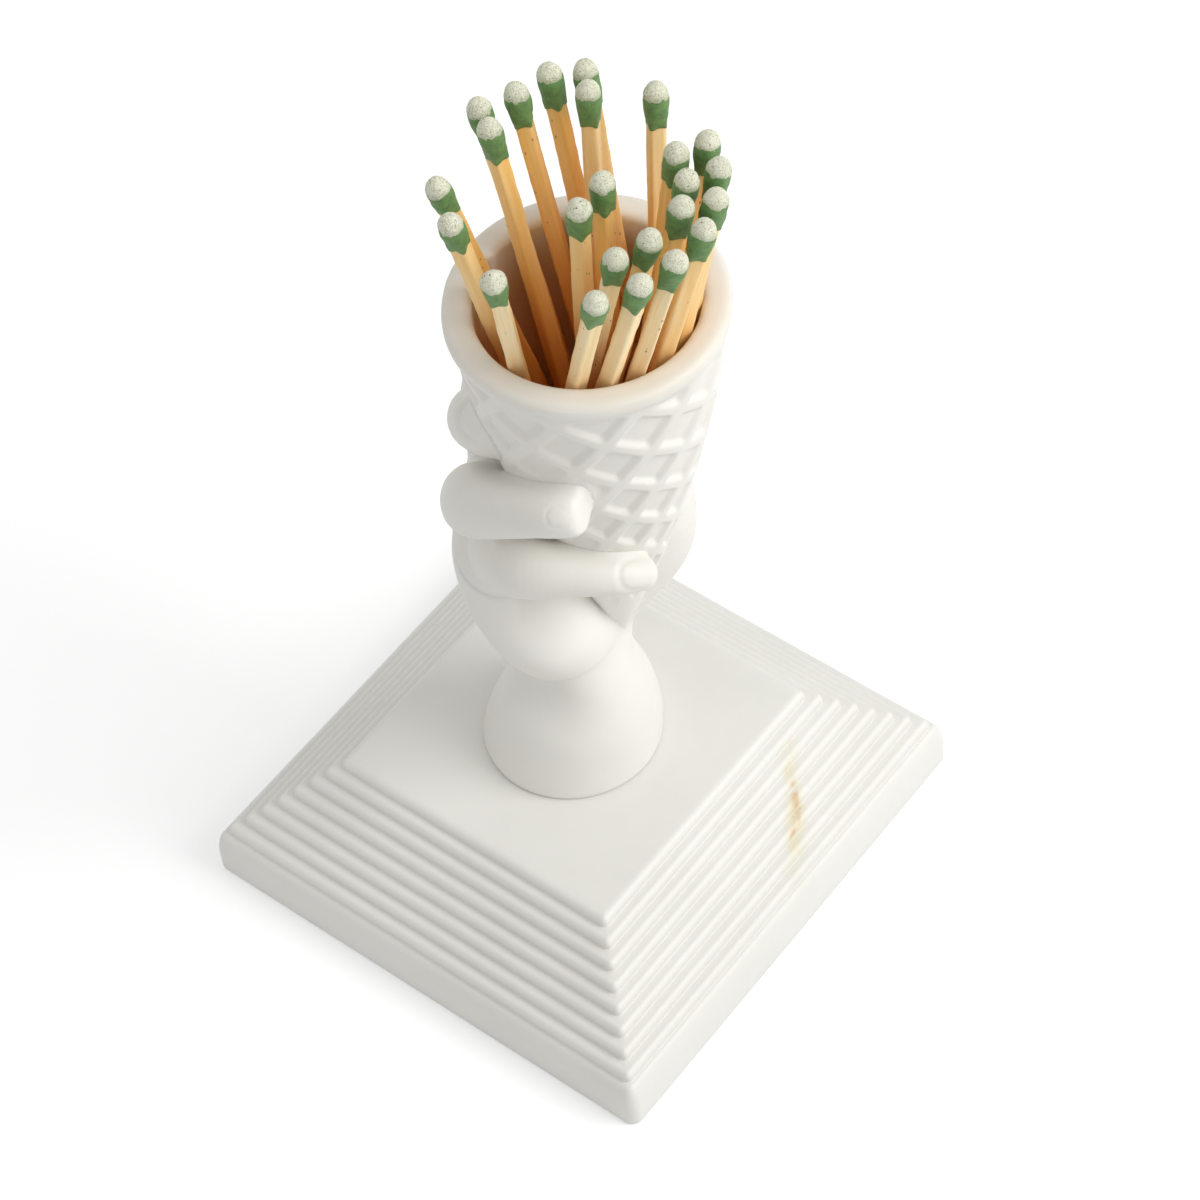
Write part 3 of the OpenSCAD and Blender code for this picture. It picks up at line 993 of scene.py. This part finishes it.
@dataclass
class SculptedHand:
    """The hand with its wrist and bell foot, sculpted as one smooth skin round its bone lines.

    Palm and heel are stacks of level ovals: x, y, z and two half widths. A blend is the reach of a fillet,
    and each span says where a kind of fillet starts and where it is full.
    """

    frame: CastingFrame
    cone_radius_at: Callable[[np.ndarray], np.ndarray]
    cup_floor: float
    foot_radius: float = 16.7
    foot_round: float = 0.6
    voxel: float = 0.46
    palm: Rows = (
        (0.2, 0, 2, 16.6, 16.6),
        (0.9, 0, 6, 15.9, 16),
        (2, 0, 12, 13.9, 14.5),
        (3.8, 0.5, 17.5, 10.1, 12),
        (4.1, 1.6, 22, 8.6, 10.3),
        (3.2, 4.8, 28, 10.8, 8.6),
        (4.6, 7, 36, 13.4, 8),
        (4.4, 11, 46, 14.6, 7.4),
        (3.4, 15, 58, 14.4, 7.2),
        (2.4, 18.6, 70, 14.6, 7),
        (3.4, 21.6, 81, 13, 6.4),
        (5, 23.6, 90, 10.6, 5.2),
        (6, 24.4, 95, 7.6, 3.6),
    )
    heel: Rows = (
        (2.1, 0.8, 18, 6.8, 6.8),
        (1.5, 0.9, 23, 7.5, 7),
        (0.2, 0.1, 26.5, 8.6, 7.9),
        (-0.8, -2, 30.5, 9.7, 9.6),
        (-3.1, -3, 38, 10.4, 10.5),
        (-5.9, -1.2, 46, 10.2, 9.7),
        (-6.3, 2, 54, 8.5, 8.6),
        (-6.3, 6, 60, 5.6, 6),
    )
    digits: tuple[Digit, ...] = (LITTLE, RING, MIDDLE, INDEX, THUMB)
    out_tilt: float = 0.35
    palm_blend: float = 2.6
    root_blend: float = 3.6
    left_blend: float = 10.0
    front_blend: float = 1.2
    digit_blend: float = 0.8
    knuckle_blend: float = 2.8
    knuckle_x: Span = (-5.0, -11.0)
    left_x: Span = (-4.0, -9.0)
    left_z: Span = (63.0, 55.0)
    front_x: Span = (-8.5, -4.5)
    front_y: Span = (2.0, -6.0)
    tip_edge: float = 1.4
    cone_blend: float = 2.2
    crisp_blend: float = 0.3
    cone_z: Span = (52.0, 62.0)
    cone_tuck: float = 0.16
    in_cone_wall: float = 1.8
    bone_reach: float = 17.0
    most_push: float = 0.8
    smoothings: int = 9
    free_smoothings: int = 3
    draws_after: tuple[int, ...] = (2, 4, 6, 8)
    nail_power: float = 2.4
    nail_plate: float = 0.08
    nail_fold: float = 0.24
    nail_swell: float = 0.08
    finish: BisqueFinish = field(default_factory=BisqueFinish)

    def bones(self, digit: Digit, t: np.ndarray) -> Bones:
        """Lay frames along a digit's bone line.

        Args:
            digit: The digit.
            t: Places along its rows.

        Returns:
            The frames. Their out directions point away from the cone.
        """
        rows = np.array(digit.rows, float)
        here = smooth_rows(rows, t)
        ahead = smooth_rows(rows, np.minimum(t + 0.01, len(rows) - 1))
        along = (ahead - smooth_rows(rows, np.maximum(t - 0.01, 0)))[:, :3]
        along /= np.linalg.norm(along, axis=1)[:, None]
        away = here[:, :3] * [1, 1, 0] - [self.frame.cone_offset, 0, 0]
        away[:, 2] = self.out_tilt * np.linalg.norm(away[:, :2], axis=1)
        out = away - along * np.sum(away * along, axis=1)[:, None]
        out /= np.linalg.norm(out, axis=1)[:, None]
        return Bones(here[:, :3], along, out, np.cross(along, out), here[:, 3:5])

    def digit_rings(self, digit: Digit) -> np.ndarray:
        """Lay rings round a digit, for its rough form.

        Args:
            digit: The digit.

        Returns:
            Points, ring by ring. The rings shrink over the last row.
        """
        last = len(digit.rows) - 1
        t = np.linspace(0, last, 8 * last + 1)
        bones = self.bones(digit, t)
        u = np.clip((t - last + 0.92) / 0.92, 0, 1)
        shrink = np.sqrt(np.maximum(1 - u**3, 0.01))[:, None, None]
        a = np.radians(np.arange(0, 360, 15))
        ring = bones.out[:, None] * (bones.size[:, :1] * np.cos(a))[..., None]
        ring += bones.across[:, None] * (bones.size[:, 1:] * np.sin(a))[..., None]
        return bones.middle[:, None] + ring * shrink

    def stack_rings(self, rows: np.ndarray) -> np.ndarray:
        """Lay rings round a stack of level ovals.

        Args:
            rows: The ovals.

        Returns:
            Points, ring by ring.
        """
        here = smooth_rows(rows, np.linspace(0, len(rows) - 1, 6 * len(rows)))
        a = np.radians(np.arange(0, 360, 10))
        x = here[:, :1] + here[:, 3:4] * np.cos(a)
        y = here[:, 1:2] + here[:, 4:5] * np.sin(a)
        return np.stack([x, y, np.repeat(here[:, 2:3], len(a), axis=1)], axis=-1)

    def ovals(self) -> tuple[np.ndarray, np.ndarray]:
        """List the level ovals.

        Returns:
            The palm's ovals, with the rounded edge of the bell foot below them, and the heel's ovals.
        """
        edge = []
        for a in (0, 30, 60, 90):
            r = self.foot_radius - self.foot_round * (1 - math.sin(math.radians(a)))
            edge.append((0, 0, self.foot_round * (1 - math.cos(math.radians(a))), r, r))
        return np.array(edge + list(self.palm), float), np.array(self.heel, float)

    def rough_form(self) -> bpy.types.Object:
        """Join the rough forms of all parts into one closed skin of small even faces.

        Returns:
            The rough hand, with a remesh modifier.
        """
        points: list[np.ndarray] = []
        faces: Faces = []
        start = 0
        forms = [self.stack_rings(rows) for rows in self.ovals()]
        forms += [self.digit_rings(digit) for digit in self.digits]
        for rings in forms:
            rows, count = rings.shape[:2]
            points.append(rings.reshape(-1, 3))
            faces += [tuple(start + k for k in face) for face in grid_faces(rows, count)]
            faces.append(end_face(start, count, downward=True))
            start += rows * count
            faces.append(end_face(start - count, count))
        rough = new_piece("hand_rough", np.concatenate(points), faces, bpy.data.materials.new("rough"))
        remesh = rough.modifiers.new("even", "REMESH")
        remesh.mode = "VOXEL"
        remesh.voxel_size = self.voxel * MM
        return rough

    def oval_field(self, p: np.ndarray, rows: np.ndarray) -> np.ndarray:
        """Measure roughly how far points lie from a stack of level ovals.

        Args:
            p: The points.
            rows: The ovals.

        Returns:
            Distances, negative inside.
        """
        dense = smooth_rows(rows, np.linspace(0, len(rows) - 1, 12 * len(rows)))
        dense = dense[np.argsort(dense[:, 2])]
        z = np.clip(p[:, 2], dense[0, 2], dense[-1, 2])
        cx, cy, a, b = (np.interp(z, dense[:, 2], dense[:, k]) for k in (0, 1, 3, 4))
        x, y = p[:, 0] - cx, p[:, 1] - cy
        k0 = np.sqrt((x / a) ** 2 + (y / b) ** 2)
        k1 = np.sqrt((x / a**2) ** 2 + (y / b**2) ** 2) + 1e-6
        flat = k0 * (k0 - 1) / k1
        over = p[:, 2] - dense[-1, 2]
        return np.where(over > 0, np.hypot(np.maximum(flat, 0), over) + np.minimum(flat, 0), flat)

    def digit_field(self, p: np.ndarray, digit: Digit) -> np.ndarray:
        """Measure roughly how far points lie from a digit.

        Args:
            p: The points.
            digit: The digit.

        Returns:
            Distances, negative inside, and FAR where the digit is out of reach.
        """
        last = len(digit.rows) - 1
        bones = self.bones(digit, np.linspace(0, last - digit.before_end, 9 * last))
        low, high = bones.middle.min(0) - self.bone_reach, bones.middle.max(0) + self.bone_reach
        near = np.all((p > low) & (p < high), axis=1)
        q = p[near]
        best = np.full(len(q), FAR)
        for middle, along, out, across, (thick, tall) in zip(
            bones.middle, bones.along, bones.out, bones.across, bones.size
        ):
            d = q - middle
            u, v, w = d @ along, d @ out, d @ across
            length = min(thick, tall)
            thick_here = np.where(v < 0, thick * digit.inner, thick)
            k0 = np.sqrt((u / length) ** 2 + (v / thick_here) ** 2 + (w / tall) ** 2)
            k1 = np.sqrt((u / length**2) ** 2 + (v / thick_here**2) ** 2 + (w / tall**2) ** 2) + 1e-6
            best = np.minimum(best, k0 * (k0 - 1) / k1)
        if digit.end_face:
            beyond = digit.end_face[3] - q @ np.array(digit.end_face[:3])
            best = -soft_union(-best, beyond, self.tip_edge)
        result = np.full(len(p), FAR)
        result[near] = best
        return result

    def flesh_field(self, p: np.ndarray) -> np.ndarray:
        """Measure roughly how far points lie from the hand by itself.

        Args:
            p: The points.

        Returns:
            Distances, negative inside.
        """
        x, y, z = p.T
        palm, heel = (self.oval_field(p, rows) for rows in self.ovals())
        fields = {d.name: self.digit_field(p, d) for d in self.digits}
        body = soft_union(soft_union(palm, heel, self.palm_blend), fields["thumb"], self.palm_blend)
        knuckles = smoothstep(*self.knuckle_x, x)
        between = self.digit_blend + (self.knuckle_blend - self.digit_blend) * knuckles
        fingers = fields["little"]
        for name in ("ring", "middle", "index"):
            fingers = soft_union(fingers, fields[name], between)
        # The fillet between palm and fingers is wide on the hand's left and narrow in front of the cone
        left = smoothstep(*self.left_x, x) * smoothstep(*self.left_z, z)
        wide = soft_union(body, fingers, self.root_blend + (self.left_blend - self.root_blend) * left)
        tight = soft_union(body, fingers, self.front_blend)
        front = smoothstep(*self.front_y, y) * smoothstep(*self.front_x, x)
        return np.maximum(wide * (1 - front) + tight * front, -z - 0.02)

    def skin_field(self, p: np.ndarray) -> np.ndarray:
        """Measure roughly how far points lie from the hand's skin, as it was cast with the cone.

        Args:
            p: The points.

        Returns:
            Distances, negative inside.
        """
        skin, z = self.flesh_field(p), p[:, 2]
        # Skin and cone were cast together, so a small fillet leads from one to the other above the cone's tip
        outside = self.frame.from_cone_axis(p) - self.cone_radius_at(z)
        reach = self.crisp_blend + (self.cone_blend - self.crisp_blend) * smoothstep(*self.cone_z, z)
        joined = soft_union(skin, np.abs(outside + self.cone_tuck), reach)
        skin = np.where(outside + self.cone_tuck > -1.0, joined, skin)
        # The cup stays clear: what reaches into it ends within the cone's wall
        return np.where(z > self.cup_floor - 3, np.maximum(skin, -self.in_cone_wall - outside), skin)

    def carve_nails(self, p: np.ndarray, normals: np.ndarray) -> np.ndarray:
        """Raise the nails and cut their folds.

        Args:
            p: The skin's points.
            normals: Its normals.

        Returns:
            The moved points.
        """
        shift = np.zeros(len(p))
        for digit in self.digits:
            nail = digit.nail
            bones = self.bones(digit, np.array([len(digit.rows) - 1 - nail.back]))
            out, across = bones.out[0], bones.across[0]
            roll = math.radians(nail.roll)
            d = p - bones.middle[0]
            u = d @ bones.along[0] / nail.half_length
            v = d @ (across * math.cos(roll) - out * math.sin(roll)) / nail.half_width
            above = d @ (out * math.cos(roll) + across * math.sin(roll)) > 0.6
            ahead = np.where(u > 0, u / 1.05, u)
            # The nail's edge lies where e is 1
            e = (np.abs(ahead) ** self.nail_power + np.abs(v) ** self.nail_power) ** (1 / self.nail_power)
            plate = self.nail_plate * (1 - smoothstep(0.8, 1.02, e))
            fold = self.nail_fold * np.exp(-(((e - 1.02) / 0.11) ** 2)) * (1 - 0.7 * smoothstep(0.2, 0.8, u))
            behind = smoothstep(1.0, -1.5, u * nail.half_length)
            swell = self.nail_swell * np.exp(-(((e - 1.3) / 0.17) ** 2)) * behind
            shift += np.where(above & (e < 1.8), nail.relief * (plate - fold + swell), 0.0)
        return p + normals * shift[:, None]

    def read_normals(self, mesh: bpy.types.Mesh, p: np.ndarray) -> np.ndarray:
        """Move a mesh's vertices and read its normals.

        Args:
            mesh: The mesh.
            p: New places of its vertices, in millimetres.

        Returns:
            One normal for each vertex.
        """
        mesh.vertices.foreach_set("co", (p * MM).ravel())
        mesh.update()
        normals = np.empty(len(p) * 3, np.float32)
        mesh.vertex_normals.foreach_get("vector", normals)
        return normals.reshape(-1, 3).astype(float)

    def smooth_skin(self, mesh: bpy.types.Mesh) -> np.ndarray:
        """Smooth the rough skin and draw it onto the skin's field.

        Args:
            mesh: The rough skin.

        Returns:
            The new places of its vertices, in millimetres.
        """
        count = len(mesh.vertices)
        p = np.empty(count * 3)
        mesh.vertices.foreach_get("co", p)
        p = p.reshape(-1, 3) / MM
        pairs = np.empty(len(mesh.edges) * 2, int)
        mesh.edges.foreach_get("vertices", pairs)
        pairs = pairs.reshape(-1, 2)
        degree = np.bincount(pairs.ravel(), minlength=count)[:, None]
        for step in range(self.smoothings):
            neighbours = np.zeros_like(p)
            for k in range(3):
                neighbours[:, k] += np.bincount(pairs[:, 0], p[pairs[:, 1], k], count)
                neighbours[:, k] += np.bincount(pairs[:, 1], p[pairs[:, 0], k], count)
            drift = neighbours / degree - p
            normals = self.read_normals(mesh, p)
            # After the first free steps the points only slide along the skin
            if step >= self.free_smoothings:
                drift -= normals * np.sum(drift * normals, axis=1)[:, None]
            p = p + drift * 0.5
            if step in self.draws_after:
                p -= normals * np.clip(self.skin_field(p), -self.most_push, self.most_push)[:, None]
        return p

    def build(self) -> None:
        """Build the hand and let it stand for the CAD node of hand and cone."""
        rough = self.rough_form()
        graph = bpy.context.evaluated_depsgraph_get()
        mesh = bpy.data.meshes.new_from_object(rough.evaluated_get(graph))
        bpy.data.objects.remove(rough)
        p = self.smooth_skin(mesh)
        p = self.carve_nails(p, self.read_normals(mesh, p))
        p[:, 2] = np.maximum(p[:, 2], 0)
        mesh.vertices.foreach_set("co", (self.frame.to_row(p) * MM).ravel())
        mesh.name = "sculpted_hand"
        mesh.materials.clear()
        mesh.materials.append(self.finish.material("bisque_hand", None))
        mesh.polygons.foreach_set("use_smooth", [True] * len(mesh.polygons))
        mesh.update()
        piece = bpy.data.objects.new("sculpted_hand", mesh)
        bpy.context.scene.collection.objects.link(piece)
        settle(piece, Slot.BISQUE, "hand_and_cone")


# The matches


class Tone(Enum):
    """How golden a splint's wood is."""

    CREAM = 0.02
    STRAW = 0.5
    GOLD = 0.8


@dataclass
class Match:
    """One match: a sawn splint, its green head and its pale tip."""

    number: int
    tone: Tone
    side: float = 2.8
    length: float = 74.5
    splint_points: int = 32
    splint_rows: int = 46
    splint_power: float = 11.0
    sawn: Span = (0.07, 0.06)
    head_grip: float = 4.5
    head_radius: float = 2.14
    head_coat: float = 0.07
    head_power: float = 9.0
    head_points: int = 48
    head_rows: int = 26
    lumps: Span = (0.12, 0.05)
    foot_lift: float = 0.35
    drip: float = 0.36
    ragged: float = 0.16
    hem: Span = (0.25, 0.12)
    egg: float = 3.4
    egg_power: float = 2.2
    cap: float = 2.6
    cap_rows: int = 22
    cap_coat: float = 0.09
    cap_lumps: Span = (0.06, 0.03)
    cap_overlap: float = 0.8
    cap_ragged: float = 0.09

    def __post_init__(self) -> None:
        """Read the splint's own frame from its CAD node."""
        node = bpy.data.objects[f"splint_{self.number}"]
        corners = np.unique(np.round(np.array([v.co for v in node.data.vertices]) / MM, 4), axis=0)
        middle = corners.mean(axis=0)
        along = np.linalg.svd(corners - middle)[2][0]
        along *= np.sign(along[2])
        normals = np.array([f.normal for f in node.data.polygons])
        level = normals[np.argmin(np.abs(normals @ along))]
        first = level - along * (level @ along)
        first /= np.linalg.norm(first)
        self.axes = np.array([first, np.cross(along, first), along])
        reach = (corners - middle) @ along
        self.foot = middle + along * reach.min()
        self.bar_length = float(reach.max() - reach.min())

    def piece(
        self, part: str, local: np.ndarray, faces: Faces, material: bpy.types.Material
    ) -> bpy.types.Object:
        """Make a piece of the match that knows its own place and its wood's tone.

        Args:
            part: The piece's own name.
            local: Its points, in the match's frame.
            faces: Its faces.
            material: Its finish.

        Returns:
            The piece.
        """
        piece = new_piece(f"match_{self.number}_{part}", self.foot + local @ self.axes, faces, material)
        # Each match has its own patch of the grain and specks
        store_vectors(piece, "grain_place", local + [7.3 * self.number, 3.1 * self.number, 0])
        store_floats(piece, "tone", np.full(len(local), self.tone.value))
        return piece

    def broad_lumps(self, local: np.ndarray) -> np.ndarray:
        """Return the broad lumps that head and tip share, so that the coat follows the egg."""
        return value_noise(local * 0.55 + self.number * 7, 70 + self.number) * self.lumps[0]

    def egg_radius(self, z: np.ndarray) -> np.ndarray:
        """Return the dipped head's radius above its widest place."""
        t = np.clip((z - (self.length - self.egg)) / self.egg, 0, 1)
        return self.head_radius * (1 - t**self.egg_power) ** 0.5

    def build_splint(self, wood: bpy.types.Material) -> None:
        """Build the splint, with a slightly rough sawn surface.

        Args:
            wood: The splint's finish.
        """
        count, rows = self.splint_points, self.splint_rows
        a = np.radians(np.arange(count) * 360 / count + 180 / count)
        r = square_radius(a, self.side / 2 - 0.02, self.splint_power)
        heights = np.repeat(np.linspace(0.0, self.bar_length, rows), count)
        local = polar(np.tile(r, rows), np.tile(a, rows), heights)
        seed = 20 + self.number
        rough = value_noise(local * [1.6, 1.6, 0.14] + self.number * 5, seed) * self.sawn[0]
        rough += value_noise(local * [3.0, 3.0, 0.9] + self.number * 3, seed + 30) * self.sawn[1]
        local[:, :2] *= (1 + (rough - 0.03) / (self.side / 2))[:, None]
        faces = grid_faces(rows, count)
        faces += [end_face(0, count, downward=True), end_face((rows - 1) * count, count)]
        settle(self.piece("splint", local, faces, wood), Slot.WOOD, f"splint_{self.number}")

    def build_head(self, green: bpy.types.Material) -> None:
        """Build the green head: square like the splint at its foot, then round like an egg.

        Args:
            green: The head's finish.
        """
        count, rows = self.head_points, self.head_rows
        seed = 70 + self.number
        a = np.radians(np.arange(count) * 360 / count)
        # The lower edge hangs further down at the splint's corners
        corner = np.abs(np.sin(2 * a)) ** 1.6
        ragged = value_noise(polar(2.0, a, np.full(count, self.number)), seed)
        foot = self.bar_length - self.head_grip + self.foot_lift - self.drip * corner + self.ragged * ragged
        widest = self.length - self.egg
        top = self.length - self.cap + self.cap_overlap
        square = square_radius(a, self.side / 2 + self.head_coat, self.head_power)
        # A short hem turns in to the wood at the foot
        inward, upward = self.hem
        rings = [polar(square - inward, a, foot + upward)]
        for k in range(rows):
            z = foot + (top - foot) * (k / (rows - 1))
            rise = np.sin(math.pi / 2 * np.clip((z - foot) / (widest - foot), 0, 1)) ** 1.15
            r = np.maximum(square * (1 - rise) + self.egg_radius(z) * rise, square * (1 - rise * 1.3))
            rings.append(polar(r, a, z))
        local = np.concatenate(rings)
        lump = self.broad_lumps(local) + value_noise(local * 1.7, seed + 1) * self.lumps[1]
        free = np.repeat([0.0] + [min(1.0, k / 6) for k in range(rows)], count)
        local[:, :2] *= (1 + lump * free / self.head_radius)[:, None]
        faces = grid_faces(rows + 1, count) + [end_face(rows * count, count)]
        piece = self.piece("head", local, faces, green)
        store_floats(piece, "edge", np.zeros(len(local)))
        settle(piece, Slot.GREEN, f"head_{self.number}")

    def build_tip(self, pale: bpy.types.Material) -> None:
        """Build the pale tip, a thin lumpy coat over the top of the egg.

        Args:
            pale: The tip's finish.
        """
        count, rows = self.head_points, self.cap_rows
        seed = 130 + self.number
        a = np.radians(np.arange(count) * 360 / count)
        ragged = value_noise(polar(3.0, a, np.full(count, 9.0)), seed)
        rings = []
        for k in range(rows):
            share = math.sin(math.pi / 2 * k / (rows - 1))
            z = self.length - self.cap * (1 - share) + self.cap_ragged * ragged * (1 - share) ** 2
            coat = self.cap_coat * min(1.0, k / 3) - 0.02
            r = self.egg_radius(z) + coat if k < rows - 1 else np.full(count, 0.02)
            rings.append(polar(r, a, z + coat * share))
        local = np.concatenate(rings)
        fine = value_noise(local * 1.4 + self.number * 3, seed) * self.cap_lumps[0]
        fine += value_noise(local * 3.0, seed + 1) * self.cap_lumps[1]
        local[:, :2] *= (1 + (self.broad_lumps(local) + fine) / self.head_radius)[:, None]
        local[:, 2] -= np.abs(fine) * 0.5
        piece = self.piece("tip", local, grid_faces(rows, count), pale)
        store_floats(piece, "edge", np.repeat([max(0.0, 1 - k / 7) for k in range(rows)], count))
        # The CAD part has one node for all tips, and the first tip stands for it
        settle(piece, Slot.PALE, *(["match_tips"] if self.number == 1 else []))


@dataclass
class Bundle:
    """All the matches in the cup, some of them of whiter or more golden wood."""

    count: int = 24
    cream: tuple[int, ...] = (6, 18, 19, 20, 21)
    gold: tuple[int, ...] = (1, 3, 5, 8, 9, 13, 14, 16)
    wood: WoodFinish = field(default_factory=WoodFinish)
    green: CompoundFinish = CompoundFinish(
        "green_compound",
        body=(0.16, 0.305, 0.095),
        shade=(0.12, 0.235, 0.08),
        speck=(0.05, 0.13, 0.05),
        pit=(0.06, 0.14, 0.05),
        speck_share=0.04,
        grain_height=0.00014,
    )
    pale: CompoundFinish = CompoundFinish(
        "pale_compound",
        body=(0.93, 0.925, 0.74),
        shade=(0.83, 0.835, 0.64),
        speck=(0.27, 0.36, 0.17),
        pit=(0.10, 0.09, 0.05),
        speck_share=0.12,
        grain_height=0.0003,
    )

    def tone_of(self, number: int) -> Tone:
        """Choose the tone of a match's wood.

        Args:
            number: The match's number.

        Returns:
            Its tone.
        """
        if number in self.cream:
            return Tone.CREAM
        return Tone.GOLD if number in self.gold else Tone.STRAW

    def build(self) -> None:
        """Build every match."""
        wood, green, pale = self.wood.material(), self.green.material(), self.pale.material()
        for number in range(1, self.count + 1):
            match = Match(number, self.tone_of(number))
            match.build_splint(wood)
            match.build_head(green)
            match.build_tip(pale)


# The studio


@dataclass
class Studio:
    """A white floor, one large soft lamp under an even sky, and the photograph's viewing angle."""

    floor_side: float = 6000.0
    floor_grey: float = 0.80
    floor_glow: float = 0.36
    lamp_place: Triple = (0.99, 0.46, 0.96)
    lamp_aim: Triple = (0, 0, 0.07)
    lamp_size: float = 0.85
    lamp_watts: float = 11.2
    sky_light: float = 0.61
    camera_place: Triple = (0.2861, -0.3002, 0.6067)
    azimuth: float = 42.57
    elevation: float = 52.56
    roll: float = -0.115
    lens: float = 114.96

    def build_floor(self) -> None:
        """Build the floor, white to the camera and still taking the object's shadow."""
        half = self.floor_side / 2
        corners = np.array([[-half, -half, 0], [half, -half, 0], [half, half, 0], [-half, half, 0]])
        s = Shader("white_floor")
        s.surface.inputs["Base Color"].default_value = (*[self.floor_grey] * 3, 1)
        s.surface.inputs["Roughness"].default_value = 0.9
        s.surface.inputs["Specular IOR Level"].default_value = 0.1
        s.surface.inputs["Emission Color"].default_value = (1, 1, 1, 1)
        s.put(s.surface.inputs["Emission Strength"], s.times(background_rays(s.tree), self.floor_glow))
        new_piece("floor", corners, [(0, 1, 2, 3)], s.material)

    def build_lamp(self) -> None:
        """Set the large soft lamp low on the right."""
        lamp = bpy.data.lights.new("key", "AREA")
        lamp.size = self.lamp_size
        lamp.energy = self.lamp_watts
        holder = bpy.data.objects.new("key", lamp)
        holder.location = self.lamp_place
        aim = Vector(self.lamp_aim) - Vector(self.lamp_place)
        holder.rotation_euler = aim.to_track_quat("-Z", "Y").to_euler()
        bpy.context.scene.collection.objects.link(holder)

    def build_sky(self) -> None:
        """Set the even sky, pale to the object and white where it is seen."""
        world = bpy.data.worlds.new("sky")
        world.use_nodes = True
        tree = world.node_tree
        background = tree.nodes["Background"]
        background.inputs["Color"].default_value = (1, 1, 1, 1)
        strength = tree.nodes.new("ShaderNodeMix")
        strength.inputs["A"].default_value = self.sky_light
        strength.inputs["B"].default_value = 1.0
        tree.links.new(background_rays(tree), strength.inputs["Factor"])
        tree.links.new(strength.outputs["Result"], background.inputs["Strength"])
        bpy.context.scene.world = world

    def build_camera(self) -> None:
        """Set the camera where the photograph was taken."""
        a, e = math.radians(self.azimuth), math.radians(self.elevation)
        back = Vector((math.sin(a) * math.cos(e), -math.cos(a) * math.cos(e), math.sin(e)))
        right = Vector((math.cos(a), math.sin(a), 0))
        up = back.cross(right)
        c, s = math.cos(self.roll), math.sin(self.roll)
        right, up = c * right + s * up, c * up - s * right
        camera = bpy.data.cameras.new("camera")
        camera.lens = self.lens
        camera.clip_end = 20
        holder = bpy.data.objects.new("camera", camera)
        turn = Matrix((right, up, back)).transposed()
        holder.matrix_world = Matrix.Translation(self.camera_place) @ turn.to_4x4()
        bpy.context.scene.collection.objects.link(holder)
        bpy.context.scene.camera = holder

    def build(self) -> None:
        """Build the floor, the lamp, the sky and the camera."""
        self.build_floor()
        self.build_lamp()
        self.build_sky()
        self.build_camera()
        bpy.context.scene.view_settings.view_transform = "Standard"


def main() -> None:
    """Build the match striker's looks round the fixed frame."""
    logging.basicConfig(level=logging.INFO, format="%(name)s: %(message)s")
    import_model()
    Studio().build()
    SteppedBlock().build()
    frame = CastingFrame(plateau=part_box("marble_base")[1].z / MM)
    cone = WaffleCone(frame)
    hand = SculptedHand(frame, cone.outer_radius, cone.rim_height - cone.cup_depth)
    cone.build(hand.flesh_field)
    hand.build()
    Bundle().build()


if __name__ == "__main__":
    main()
